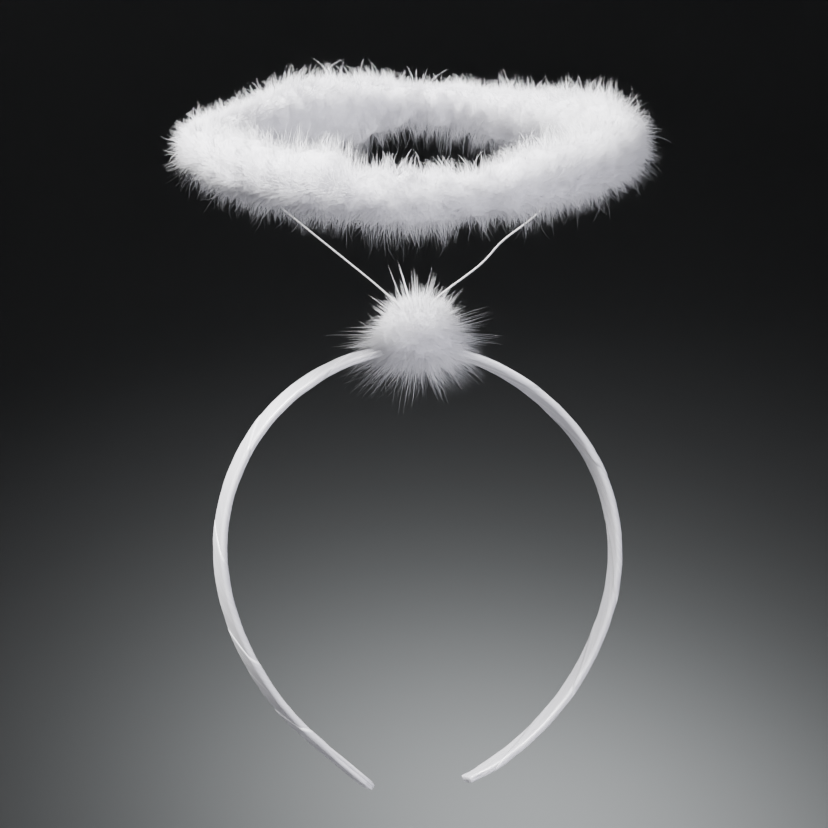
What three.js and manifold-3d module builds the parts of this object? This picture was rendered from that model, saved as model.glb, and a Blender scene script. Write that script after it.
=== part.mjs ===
// Halo headband: a plastic alice band wound in satin ribbon, a marabou puff on its crown, and a
// marabou halo held above it by white wire. Sizes are in millimetres and degrees.
// +Z is up, X runs across the head and the front is towards -Y. The origin is the middle of the
// crown's underside, where the band sits on the head.

import * as THREE from 'three';
import { mergeVertices } from 'three/addons/utils/BufferGeometryUtils.js';
import Module from 'manifold-3d';

const wasm = await Module();
wasm.setup();

// Play kept between pieces that touch on the real thing
const GAP = 0.3;

// The stiff strip, a flat bar on edge. Its tips are rounded, and blunt at the very end
const STRIP_DEPTH = 9.2;
const STRIP_THICKNESS = 1.0;
const STRIP_TIP_RADIUS = 5;
const STRIP_BLUNT_SHARE = 0.14;

// The ribbon round it: its wall, and the step where one turn laps the turn before, which is
// lower where the ribbon is drawn tight round the strip's edges
const RIBBON_WALL = 0.5;
const LAP_STEP = 0.22;
const LAP_EDGE_SHARE = 0.5;
const LAP_PITCH = 33;
const RIBBON_DEPTH = STRIP_DEPTH + 2 * (GAP + RIBBON_WALL);
const RIBBON_THICKNESS = STRIP_THICKNESS + 2 * (GAP + RIBBON_WALL);
const CORNER_RADIUS = 0.7;
const CORNER_POINTS = 3;

// Where the ribbon and the strip end, measured in from the centre line's two ends
const RIBBON_LEFT_INSET = 1.5;
const RIBBON_RIGHT_INSET = 1.6;
const STRIP_RIGHT_INSET = 3.5;

// The ribbon's right end is cut aslant, and narrows no more than this on each side
const CUT_SLANT = 1.5;
const CUT_REACH = 10;
const SLEEVE_NARROWING = 1.5;

// The band's centre line, as arcs from the crown down each side
const LEFT_ARCS = [
  { radius: 63, turn: 105 },
  { radius: 89, turn: 33.5 },
  { radius: 500, turn: 3 },
];
const RIGHT_ARCS = [
  { radius: 63, turn: 29 },
  { radius: 81, turn: 19 },
  { radius: 62, turn: 60 },
  { radius: 88, turn: 47.5 },
];

// How far the band's outer face leans to the front, at shares of its length from the left tip
const LEAN = [
  { share: 0.0, degrees: 3 },
  { share: 0.12, degrees: 7 },
  { share: 0.27, degrees: 4.5 },
  { share: 0.39, degrees: 8.5 },
  { share: 0.45, degrees: 6.5 },
  { share: 0.52, degrees: -5 },
  { share: 0.62, degrees: -6 },
  { share: 0.75, degrees: 0 },
  { share: 1.0, degrees: -1 },
];

// Stations along the band: close together at a tip, then evenly spaced
const TIP_STATIONS = [0, 0.35, 1.1, 2.4];
const STATION_SPACING = 4.6;

// The halo stands turned on the band, and its ring is tipped down at the front
const HALO_TURN = 15;
const RING_TIP = 17.8;
const RING_RADIUS = 65;
const RING_CENTRE = { x: -1.5, z: 66.2 };

// The white wire: a hoop, two legs, and three turns round the crown
const HOOP_WIRE_RADIUS = 0.6;
const LEG_WIRE_RADIUS = 0.5;
const WIRE_SIDES = 6;
const HOOP_STEPS = 48;
const LEG_STEPS = 36;
const FOOT_TURNS = 3;
const FOOT_WIRE = 1.0;
const FOOT_OVERLAP = 0.1;
const FOOT_BEND_RADIUS = 1.4;

// The legs' routes in the halo's own upright plane, from the foot up to the ring
const LEFT_LEG = [
  { x: -0.45, z: 3.6 },
  { x: -0.5, z: 7.5 },
  { x: -1.8, z: 12.3 },
  { x: -8.3, z: 19 },
  { x: -34.7, z: 40.7 },
  { x: RING_CENTRE.x - RING_RADIUS, z: RING_CENTRE.z },
];
const RIGHT_LEG = [
  { x: 0.45, z: 3.6 },
  { x: 0.5, z: 7.5 },
  { x: 1.6, z: 12.6 },
  { x: 7, z: 18.1 },
  { x: 21, z: 28.9 },
  { x: 27.4, z: 35.9 },
  { x: 36.9, z: 42.9 },
  { x: RING_CENTRE.x + RING_RADIUS, z: RING_CENTRE.z },
];

// The boa: a soft round body on the hoop, drawn out into locks of down on all sides
const BOA_ROWS = 14;
const BOA_COLUMNS = 112;
const BOA_HOLLOW_RADIUS = 8.6;
const BOA_LOCK_REACH = { least: 10.8, most: 13.8 };
const BOA_LOCK_SWAY = 1.1;
const BOA_SEED = 7;
const BOA_CHANNEL_RADIUS = 1.05;
const LEG_EXIT_LENGTH = 26;
const LEG_EXIT_SIDES = 8;

// The puff: a soft ball on the crown, wider than it is tall, with locks on all sides
const PUFF_CENTRE = { x: 1.9, z: 6.6 };
const PUFF_CORE = { x: 13, y: 12, z: 11 };
const PUFF_CORE_DETAIL = 2;
const PUFF_LOCKS = 72;
const PUFF_LOCK_REACH = { least: 1.15, most: 1.42 };
const PUFF_LOCK_ROOT = 0.45;
const PUFF_LOCK_GIRTH = { least: 4.4, most: 5.6 };
const PUFF_LOCK_SWAY = 0.55;
const PUFF_LOCK_SIDES = 4;
const PUFF_SEED = 23;

// The room kept in the puff for the band, a little longer than the puff, and for the legs
const PASSAGE_SPARE = 5;
const LEG_SLOT_RADIUS = 0.95;
const LEG_SLOT_STEPS = 14;
const LEG_SLOT_SIDES = 8;

const FINISHES = {
  strip: { color: 0xf2f2ee, roughness: 0.5 },
  satin: { color: 0xe9e7ec, roughness: 0.35 },
  wire: { color: 0xececec, roughness: 0.4 },
  down: { color: 0xf4f3f6, roughness: 0.95 },
};

// Corners of a mesh closer together than this are one corner
const MERGE_TOLERANCE = 1e-4;

// A repeatable stream of numbers from 0 to 1
const STREAM_STEP = 0x6d2b79f5;
const STREAM_RANGE = 2 ** 32;

function randomStream(seed) {
  let state = seed;
  return () => {
    state = (state + STREAM_STEP) | 0;
    let mixed = Math.imul(state ^ (state >>> 15), 1 | state);
    mixed = (mixed + Math.imul(mixed ^ (mixed >>> 7), 61 | mixed)) ^ mixed;
    return ((mixed ^ (mixed >>> 14)) >>> 0) / STREAM_RANGE;
  };
}

// A closed three.js geometry as a solid for cutting and joining
function solidOf(geometry) {
  const bare = geometry.clone();
  bare.deleteAttribute('normal');
  bare.deleteAttribute('uv');
  const merged = mergeVertices(bare, MERGE_TOLERANCE);
  return new wasm.Manifold(new wasm.Mesh({
    numProp: 3,
    vertProperties: new Float32Array(merged.attributes.position.array),
    triVerts: new Uint32Array(merged.index.array),
  }));
}

// A solid back as a geometry
function geometryOf(solid) {
  const mesh = solid.getMesh();
  const geometry = new THREE.BufferGeometry();
  geometry.setAttribute('position', new THREE.BufferAttribute(mesh.vertProperties, 3));
  geometry.setIndex(new THREE.BufferAttribute(mesh.triVerts, 1));
  geometry.computeVertexNormals();
  return geometry;
}

// A named mesh with its own plain material
function piece(name, geometry, finish) {
  const material = new THREE.MeshStandardMaterial({ ...finish, metalness: 0 });
  const mesh = new THREE.Mesh(geometry, material);
  mesh.name = name;
  return mesh;
}

function arcLength(arc) {
  return arc.radius * THREE.MathUtils.degToRad(arc.turn);
}

function sideLength(arcs) {
  return arcs.reduce((sum, arc) => sum + arcLength(arc), 0);
}

const LEFT_LENGTH = sideLength(LEFT_ARCS);
const BAND_LENGTH = LEFT_LENGTH + sideLength(RIGHT_ARCS);

// The place on one side at a distance from the crown: out from the middle, up, and the heading
// below level
function placeOnSide(arcs, distance) {
  let out = 0;
  let up = RIBBON_THICKNESS / 2;
  let heading = 0;
  let left = distance;
  for (const arc of arcs) {
    const part = Math.min(left, arcLength(arc)) / arc.radius;
    out += arc.radius * (Math.sin(heading + part) - Math.sin(heading));
    up -= arc.radius * (Math.cos(heading) - Math.cos(heading + part));
    heading += part;
    left -= part * arc.radius;
  }
  return { out, up, heading };
}

function leanAt(distance) {
  const share = distance / BAND_LENGTH;
  const next = LEAN.findIndex((row) => row.share >= share);
  const after = LEAN[Math.max(next, 1)];
  const before = LEAN[Math.max(next, 1) - 1];
  const part = THREE.MathUtils.smoothstep(share, before.share, after.share);
  return THREE.MathUtils.degToRad(THREE.MathUtils.lerp(before.degrees, after.degrees, part));
}

// The point at a distance along the band from its left tip, set back and outwards from the
// centre line
function bandPoint(distance, back, outward) {
  const onLeft = distance < LEFT_LENGTH;
  const arcs = onLeft ? LEFT_ARCS : RIGHT_ARCS;
  const side = onLeft ? -1 : 1;
  const place = placeOnSide(arcs, Math.abs(distance - LEFT_LENGTH));
  const lean = leanAt(distance);
  const away = outward * Math.cos(lean) + back * Math.sin(lean);
  return new THREE.Vector3(
    side * (place.out + away * Math.sin(place.heading)),
    back * Math.cos(lean) - outward * Math.sin(lean),
    place.up + away * Math.cos(place.heading),
  );
}

// How much narrower the strip is on each side near its rounded tips
function stripNarrowing(distance) {
  const end = BAND_LENGTH - STRIP_RIGHT_INSET;
  const fromTip = Math.max(Math.min(distance, end - distance), 0);
  const part = Math.min(fromTip / STRIP_TIP_RADIUS, 1);
  const roundness = Math.max(Math.sqrt(1 - (1 - part) ** 2), STRIP_BLUNT_SHARE);
  return (STRIP_DEPTH / 2) * (1 - roundness);
}

function evenStations(from, to, spacing) {
  const count = Math.ceil((to - from) / spacing);
  return Array.from({ length: count + 1 }, (_, index) => from + ((to - from) * index) / count);
}

function stationsWithTips(from, to) {
  const inset = TIP_STATIONS.at(-1);
  const start = TIP_STATIONS.map((step) => from + step);
  const end = TIP_STATIONS.map((step) => to - step).reverse();
  return [...start.slice(0, -1), ...evenStations(from + inset, to - inset, STATION_SPACING), ...end.slice(1)];
}

// A bar's outline round its middle, with each corner rounded by a few points
function roundedBar(depth, thickness, corner) {
  const points = [];
  for (let quarter = 0; quarter < 4; quarter += 1) {
    const x = (quarter === 0 || quarter === 3 ? 1 : -1) * (depth / 2 - corner);
    const y = (quarter < 2 ? 1 : -1) * (thickness / 2 - corner);
    for (let step = 0; step < CORNER_POINTS; step += 1) {
      const angle = ((quarter + step / (CORNER_POINTS - 1)) * Math.PI) / 2;
      points.push(new THREE.Vector2(x + corner * Math.cos(angle), y + corner * Math.sin(angle)));
    }
  }
  return new THREE.Shape(points);
}

function plainBar(depth, thickness) {
  return new THREE.Shape([
    new THREE.Vector2(-depth / 2, -thickness / 2),
    new THREE.Vector2(depth / 2, -thickness / 2),
    new THREE.Vector2(depth / 2, thickness / 2),
    new THREE.Vector2(-depth / 2, thickness / 2),
  ]);
}

// A section carried along the band through the given stations. The shaper turns a point of the
// section at a distance along the band into its place: { back, outward, distance }
function alongBand(section, stations, shaper) {
  const steps = stations.length - 1;
  const geometry = new THREE.ExtrudeGeometry(section, {
    depth: steps,
    steps,
    bevelEnabled: false,
  });
  const position = geometry.attributes.position;
  for (let index = 0; index < position.count; index += 1) {
    const station = stations[Math.round(position.getZ(index))];
    const shaped = shaper(position.getX(index), position.getY(index), station);
    const point = bandPoint(shaped.distance, shaped.back, shaped.outward);
    position.setXYZ(index, point.x, point.y, point.z);
  }
  return geometry;
}

function drawnIn(back, narrowing) {
  return back - Math.sign(back) * Math.min(narrowing, Math.abs(back));
}

function makeStrip() {
  const section = plainBar(STRIP_DEPTH, STRIP_THICKNESS);
  const stations = stationsWithTips(0, BAND_LENGTH - STRIP_RIGHT_INSET);
  return alongBand(section, stations, (back, outward, distance) => ({
    back: drawnIn(back, stripNarrowing(distance)),
    outward,
    distance,
  }));
}

// How far the wound ribbon stands up at a point: each turn rises to its lap edge and drops
function lapRise(back, outward, distance) {
  const round = Math.atan2(outward / RIBBON_THICKNESS, back / RIBBON_DEPTH) / (2 * Math.PI);
  const turns = distance / LAP_PITCH + round;
  return LAP_STEP * (turns - Math.floor(turns));
}

// Whether a point of the ribbon's section is on its outside, and not on its hollow's wall
function isRibbonSkin(back, outward) {
  const toMidWall = GAP + RIBBON_WALL / 2;
  const pastDepth = Math.abs(back) > STRIP_DEPTH / 2 + toMidWall;
  return pastDepth || Math.abs(outward) > STRIP_THICKNESS / 2 + toMidWall;
}

// The ribbon as a sleeve on the strip, drawn in at its ends, with its right end cut aslant
function makeRibbon() {
  const section = roundedBar(RIBBON_DEPTH, RIBBON_THICKNESS, CORNER_RADIUS);
  section.holes.push(plainBar(STRIP_DEPTH + 2 * GAP, STRIP_THICKNESS + 2 * GAP));
  const from = RIBBON_LEFT_INSET;
  const to = BAND_LENGTH - RIBBON_RIGHT_INSET;
  return alongBand(section, stationsWithTips(from, to), (back, outward, station) => {
    const nearCut = THREE.MathUtils.smoothstep(station, to - CUT_REACH, to);
    const distance = station + (CUT_SLANT * nearCut * back) / (RIBBON_DEPTH / 2);
    const narrowing = Math.min(stripNarrowing(distance), SLEEVE_NARROWING);
    const rise = isRibbonSkin(back, outward) ? lapRise(back, outward, distance) : 0;
    return {
      back: drawnIn(back, narrowing) + Math.sign(back) * rise * LAP_EDGE_SHARE,
      outward: outward + Math.sign(outward) * rise,
      distance,
    };
  });
}

function circle(radius, sides) {
  const points = Array.from({ length: sides }, (_, index) => {
    const angle = (2 * Math.PI * index) / sides;
    return new THREE.Vector2(radius * Math.cos(angle), radius * Math.sin(angle));
  });
  return new THREE.Shape(points);
}

function legCurve(points) {
  const places = points.map((point) => new THREE.Vector3(point.x, 0, point.z));
  return new THREE.CatmullRomCurve3(places, false, 'centripetal');
}

function sweptLeg(points, radius, steps, sides) {
  return new THREE.ExtrudeGeometry(circle(radius, sides), {
    steps,
    extrudePath: legCurve(points),
    bevelEnabled: false,
  });
}

// Tips a ring that lies level round the origin, and sets it where the halo stands
function setInHalo(ring) {
  ring.rotateX(THREE.MathUtils.degToRad(RING_TIP));
  ring.translate(RING_CENTRE.x, 0, RING_CENTRE.z);
  return ring;
}

function haloTorus(tubeRadius, sides, steps) {
  return setInHalo(new THREE.TorusGeometry(RING_RADIUS, tubeRadius, sides, steps));
}

// One plain turn of the wire's foot round the band, in the halo's own frame
function footTurn(offset) {
  const hollow = {
    depth: RIBBON_DEPTH + 2 * (LAP_STEP + GAP),
    thickness: RIBBON_THICKNESS + 2 * (LAP_STEP + GAP),
  };
  const depth = hollow.depth + 2 * FOOT_WIRE;
  const section = roundedBar(depth, hollow.thickness + 2 * FOOT_WIRE, FOOT_BEND_RADIUS);
  section.holes.push(plainBar(hollow.depth, hollow.thickness));
  const turn = new THREE.ExtrudeGeometry(section, { depth: FOOT_WIRE, bevelEnabled: false });
  turn.translate(0, 0, offset - FOOT_WIRE / 2);
  turn.rotateX(Math.PI / 2);
  turn.rotateZ(Math.PI / 2);
  turn.rotateZ(THREE.MathUtils.degToRad(HALO_TURN));
  turn.translate(0, 0, RIBBON_THICKNESS / 2);
  return turn;
}

function makeWire() {
  let wire = solidOf(haloTorus(HOOP_WIRE_RADIUS, WIRE_SIDES, HOOP_STEPS));
  for (const leg of [LEFT_LEG, RIGHT_LEG]) {
    wire = wire.add(solidOf(sweptLeg(leg, LEG_WIRE_RADIUS, LEG_STEPS, WIRE_SIDES)));
  }
  for (let turn = 0; turn < FOOT_TURNS; turn += 1) {
    const offset = (turn - (FOOT_TURNS - 1) / 2) * (FOOT_WIRE - FOOT_OVERLAP);
    wire = wire.add(solidOf(footTurn(offset)));
  }
  return geometryOf(wire);
}

// A tapering lock of down, from a root point to its tip
function lock(root, tip, girth, spin) {
  const along = new THREE.Vector3().subVectors(tip, root);
  const length = along.length();
  const geometry = new THREE.ConeGeometry(girth, length, PUFF_LOCK_SIDES);
  geometry.rotateY(spin);
  geometry.translate(0, length / 2, 0);
  const turn = new THREE.Quaternion().setFromUnitVectors(new THREE.Vector3(0, 1, 0), along.normalize());
  geometry.applyQuaternion(turn);
  geometry.translate(root.x, root.y, root.z);
  return solidOf(geometry);
}

// The boa's skin: a grid round the ring whose every second point is drawn out to a lock's tip.
// Each cell is split between its two hollow corners, so that a lock has four plain sides
function boaSkin() {
  const random = randomStream(BOA_SEED);
  const positions = [];
  const triangles = [];
  for (let row = 0; row < BOA_ROWS; row += 1) {
    for (let column = 0; column < BOA_COLUMNS; column += 1) {
      const isTip = (row + column) % 2 === 0;
      const reach = isTip
        ? THREE.MathUtils.lerp(BOA_LOCK_REACH.least, BOA_LOCK_REACH.most, random())
        : BOA_HOLLOW_RADIUS;
      const sway = isTip ? BOA_LOCK_SWAY : 0;
      const over = ((row + sway * (random() - 0.5)) / BOA_ROWS) * 2 * Math.PI;
      const around = ((column + sway * (random() - 0.5)) / BOA_COLUMNS) * 2 * Math.PI;
      const out = RING_RADIUS + reach * Math.cos(over);
      positions.push(out * Math.cos(around), out * Math.sin(around), reach * Math.sin(over));

      const nextRow = ((row + 1) % BOA_ROWS) * BOA_COLUMNS;
      const nextColumn = (column + 1) % BOA_COLUMNS;
      const a = row * BOA_COLUMNS + column;
      const b = row * BOA_COLUMNS + nextColumn;
      const c = nextRow + nextColumn;
      const d = nextRow + column;
      triangles.push(...(isTip ? [a, b, d, b, c, d] : [a, b, c, a, c, d]));
    }
  }
  const skin = new THREE.BufferGeometry();
  skin.setAttribute('position', new THREE.Float32BufferAttribute(positions, 3));
  skin.setIndex(triangles);
  return setInHalo(skin);
}

function makeBoa() {
  let boa = solidOf(boaSkin()).subtract(solidOf(haloTorus(BOA_CHANNEL_RADIUS, WIRE_SIDES, HOOP_STEPS)));
  for (const leg of [LEFT_LEG, RIGHT_LEG]) {
    boa = boa.subtract(legExit(leg));
  }
  return geometryOf(boa);
}

// The way that a leg takes out of the boa, with play round it
function legExit(points) {
  const end = points.at(-1);
  const before = points.at(-2);
  const start = new THREE.Vector3(end.x, 0, end.z);
  const inward = new THREE.Vector3(before.x - end.x, 0, before.z - end.z).normalize();
  const exit = new THREE.CylinderGeometry(
    BOA_CHANNEL_RADIUS,
    BOA_CHANNEL_RADIUS,
    LEG_EXIT_LENGTH,
    LEG_EXIT_SIDES,
  );
  exit.translate(0, LEG_EXIT_LENGTH / 2, 0);
  exit.applyQuaternion(new THREE.Quaternion().setFromUnitVectors(new THREE.Vector3(0, 1, 0), inward));
  exit.translate(start.x, start.y, start.z);
  return solidOf(exit);
}

// One of the puff's locks, which are spread evenly over its ball
function puffLock(index, random) {
  const height = 1 - (2 * (index + 0.5)) / PUFF_LOCKS;
  const level = Math.sqrt(1 - height * height);
  const around = index * Math.PI * (3 - Math.sqrt(5));
  const outward = new THREE.Vector3(level * Math.cos(around), level * Math.sin(around), height);
  const reach = THREE.MathUtils.lerp(PUFF_LOCK_REACH.least, PUFF_LOCK_REACH.most, random());
  const girth = THREE.MathUtils.lerp(PUFF_LOCK_GIRTH.least, PUFF_LOCK_GIRTH.most, random());
  const sway = new THREE.Vector3(random() - 0.5, random() - 0.5, random() - 0.5);
  const direction = outward.clone().addScaledVector(sway, PUFF_LOCK_SWAY);
  const size = new THREE.Vector3(PUFF_CORE.x, PUFF_CORE.y, PUFF_CORE.z);
  const root = outward.clone().multiply(size).multiplyScalar(PUFF_LOCK_ROOT);
  const tip = direction.multiply(size).multiplyScalar(reach);
  return lock(root, tip, girth, random() * Math.PI);
}

// The room that the wound band takes through the puff
function bandPassage() {
  const play = GAP + LAP_STEP;
  const section = plainBar(RIBBON_DEPTH + 2 * play, RIBBON_THICKNESS + 2 * play);
  const reach = PUFF_CORE.x * PUFF_LOCK_REACH.most + PASSAGE_SPARE;
  const middle = LEFT_LENGTH + PUFF_CENTRE.x;
  const stations = evenStations(middle - reach, middle + reach, STATION_SPACING);
  return alongBand(section, stations, (back, outward, distance) => ({ back, outward, distance }));
}

// The room for the wire's turns under and over the band
function footPocket() {
  const play = 2 * (LAP_STEP + 2 * GAP + FOOT_WIRE);
  const width = FOOT_TURNS * FOOT_WIRE + 2 * GAP;
  const pocket = new THREE.BoxGeometry(width, RIBBON_DEPTH + play, RIBBON_THICKNESS + play);
  pocket.translate(0, 0, RIBBON_THICKNESS / 2);
  return pocket;
}

// The ball and its locks, cut clear of the band, the wire's turns and the lower part of each leg
function makePuff() {
  const random = randomStream(PUFF_SEED);
  const ball = new THREE.IcosahedronGeometry(1, PUFF_CORE_DETAIL);
  ball.scale(PUFF_CORE.x, PUFF_CORE.y, PUFF_CORE.z);
  const parts = [solidOf(ball)];
  for (let index = 0; index < PUFF_LOCKS; index += 1) {
    parts.push(puffLock(index, random));
  }
  let puff = wasm.Manifold.union(parts).translate([PUFF_CENTRE.x, 0, PUFF_CENTRE.z]);
  puff = puff.subtract(solidOf(bandPassage())).subtract(solidOf(footPocket()));
  for (const leg of [LEFT_LEG, RIGHT_LEG]) {
    const slot = sweptLeg(leg.slice(0, -2), LEG_SLOT_RADIUS, LEG_SLOT_STEPS, LEG_SLOT_SIDES);
    slot.rotateZ(-THREE.MathUtils.degToRad(HALO_TURN));
    puff = puff.subtract(solidOf(slot));
  }
  return geometryOf(puff);
}

const halo = new THREE.Group();
halo.rotation.z = -THREE.MathUtils.degToRad(HALO_TURN);
halo.add(piece('halo_wire', makeWire(), FINISHES.wire));
halo.add(piece('halo_boa', makeBoa(), FINISHES.down));

const headband = new THREE.Group();
headband.add(piece('band_core', makeStrip(), FINISHES.strip));
headband.add(piece('band_ribbon', makeRibbon(), FINISHES.satin));
headband.add(piece('crown_puff', makePuff(), FINISHES.down));
headband.add(halo);

export default headband;
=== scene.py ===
"""A halo headband: a satin-wound alice band, a marabou puff on its crown and a marabou halo on wire.

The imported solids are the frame. This script gives the strip its finish, and builds the fine meshes that
stand for the ribbon, the wire and the down. Lengths are in millimetres and angles in degrees, unless a
name or a comment says otherwise. +Z is up, X runs across the head and the front is towards -Y. The
origin is the middle of the crown's underside.
"""

import logging
import math
from dataclasses import dataclass
from enum import Enum
from typing import Callable, Sequence

import bpy
import numpy as np
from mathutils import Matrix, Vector


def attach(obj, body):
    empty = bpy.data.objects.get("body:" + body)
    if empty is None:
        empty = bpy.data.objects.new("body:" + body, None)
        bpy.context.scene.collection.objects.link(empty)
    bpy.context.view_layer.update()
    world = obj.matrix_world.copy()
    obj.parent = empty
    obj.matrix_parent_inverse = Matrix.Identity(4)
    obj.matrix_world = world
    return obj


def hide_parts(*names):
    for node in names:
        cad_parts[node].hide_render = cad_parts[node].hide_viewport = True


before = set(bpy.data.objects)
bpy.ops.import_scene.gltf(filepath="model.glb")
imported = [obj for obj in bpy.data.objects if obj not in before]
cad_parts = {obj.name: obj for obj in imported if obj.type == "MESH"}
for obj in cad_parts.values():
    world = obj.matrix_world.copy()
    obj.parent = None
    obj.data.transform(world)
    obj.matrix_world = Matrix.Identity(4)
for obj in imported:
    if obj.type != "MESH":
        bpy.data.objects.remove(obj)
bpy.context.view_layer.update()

MM = 0.001
BODY = "root"
PHOTO_SIDE = 828

# The flat ribbon, the middle of the band's thickness at its crown, and the halo's turn on the band
RIBBON_WIDTH = 22.0
RIBBON_LENGTH = 482.0
CROWN_MIDDLE = 1.3
HALO_TURN = -15.0

# The distance between two bands of Blender's wave pattern at a scale of 1
WAVE_SPACING = 0.314

log = logging.getLogger("headband")

# Turns two arrays of shares into an n x 3 array of places
Placing = Callable[[np.ndarray, np.ndarray], np.ndarray]
# Angles round the ring, angles over the boa's section, and reaches from the hoop, an array of each
Spots = tuple[np.ndarray, np.ndarray, np.ndarray]


class Slot(Enum):
    """The record's material slots."""

    STRIP = "strip_plastic"
    SATIN = "satin_ribbon"
    WIRE = "coated_wire"
    DOWN = "marabou"


class Node(Enum):
    """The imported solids."""

    CORE = "band_core"
    RIBBON = "band_ribbon"
    WIRE = "halo_wire"
    BOA = "halo_boa"
    PUFF = "crown_puff"


def linear_colour(hex_colour: str) -> tuple[float, float, float, float]:
    """Turns an sRGB hex colour into Blender's linear colour.

    Args:
        hex_colour: Six hex digits.

    Returns:
        Red, green, blue and alpha.
    """
    channels = [int(hex_colour[i : i + 2], 16) / 255 for i in (0, 2, 4)]
    linear = [c / 12.92 if c <= 0.04045 else ((c + 0.055) / 1.055) ** 2.4 for c in channels]
    return (*linear, 1.0)


def deselect_all() -> None:
    """Deselects every object, because an operator acts on all that is selected."""
    bpy.ops.object.select_all(action="DESELECT")


def take(piece: bpy.types.Object) -> None:
    """Makes one piece the selected and active one."""
    deselect_all()
    piece.select_set(True)
    bpy.context.view_layer.objects.active = piece


def corners_of(mesh: bpy.types.Mesh) -> np.ndarray:
    """Reads a mesh's vertices as an n x 3 array."""
    places = np.zeros(len(mesh.vertices) * 3, np.float32)
    mesh.vertices.foreach_get("co", places)
    return places.reshape(-1, 3).astype(float)


def move_corners(mesh: bpy.types.Mesh, places: np.ndarray) -> None:
    """Writes a mesh's vertices from an n x 3 array."""
    mesh.vertices.foreach_set("co", places.astype(np.float32).ravel())
    mesh.update()


def unit(vectors: np.ndarray) -> np.ndarray:
    """Scales vectors, the rows of the last axis, to length 1."""
    return vectors / np.maximum(np.linalg.norm(vectors, axis=-1, keepdims=True), 1e-9)


def smoothstep(share: np.ndarray) -> np.ndarray:
    """Eases a share from 0 to 1 in and out."""
    held = np.clip(share, 0.0, 1.0)
    return held * held * (3 - 2 * held)


def add_node(
    tree: bpy.types.NodeTree, kind: str, settings: dict | None = None, links: dict | None = None
) -> bpy.types.Node:
    """Adds one shader node.

    Args:
        tree: The material's node tree.
        kind: The node's type name.
        settings: Values by name, of the node's own properties or of its input sockets.
        links: Output sockets by the name or number of the input that each feeds.

    Returns:
        The new node.
    """
    node = tree.nodes.new(kind)
    for name, value in (settings or {}).items():
        if isinstance(name, str) and hasattr(node, name):
            setattr(node, name, value)
        else:
            node.inputs[name].default_value = value
    for name, output in (links or {}).items():
        tree.links.new(output, node.inputs[name])
    return node


def new_material(name: str) -> tuple[bpy.types.Material, bpy.types.NodeTree]:
    """Makes an empty material that uses nodes, and returns it with its tree."""
    material = bpy.data.materials.new(name)
    material.use_nodes = True
    material.node_tree.nodes.clear()
    return material, material.node_tree


def close_material(tree: bpy.types.NodeTree, shader: bpy.types.Node) -> None:
    """Feeds a shader to the material's output."""
    add_node(tree, "ShaderNodeOutputMaterial", links={"Surface": shader.outputs[0]})


def set_ramp(ramp: bpy.types.Node, stops: Sequence[tuple[float, str]]) -> None:
    """Gives a colour ramp its stops, from (place, hex colour) rows."""
    elements = ramp.color_ramp.elements
    while len(elements) < len(stops):
        elements.new(0.5)
    for element, (place, colour) in zip(elements, stops):
        element.position = place
        element.color = linear_colour(colour)


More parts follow.
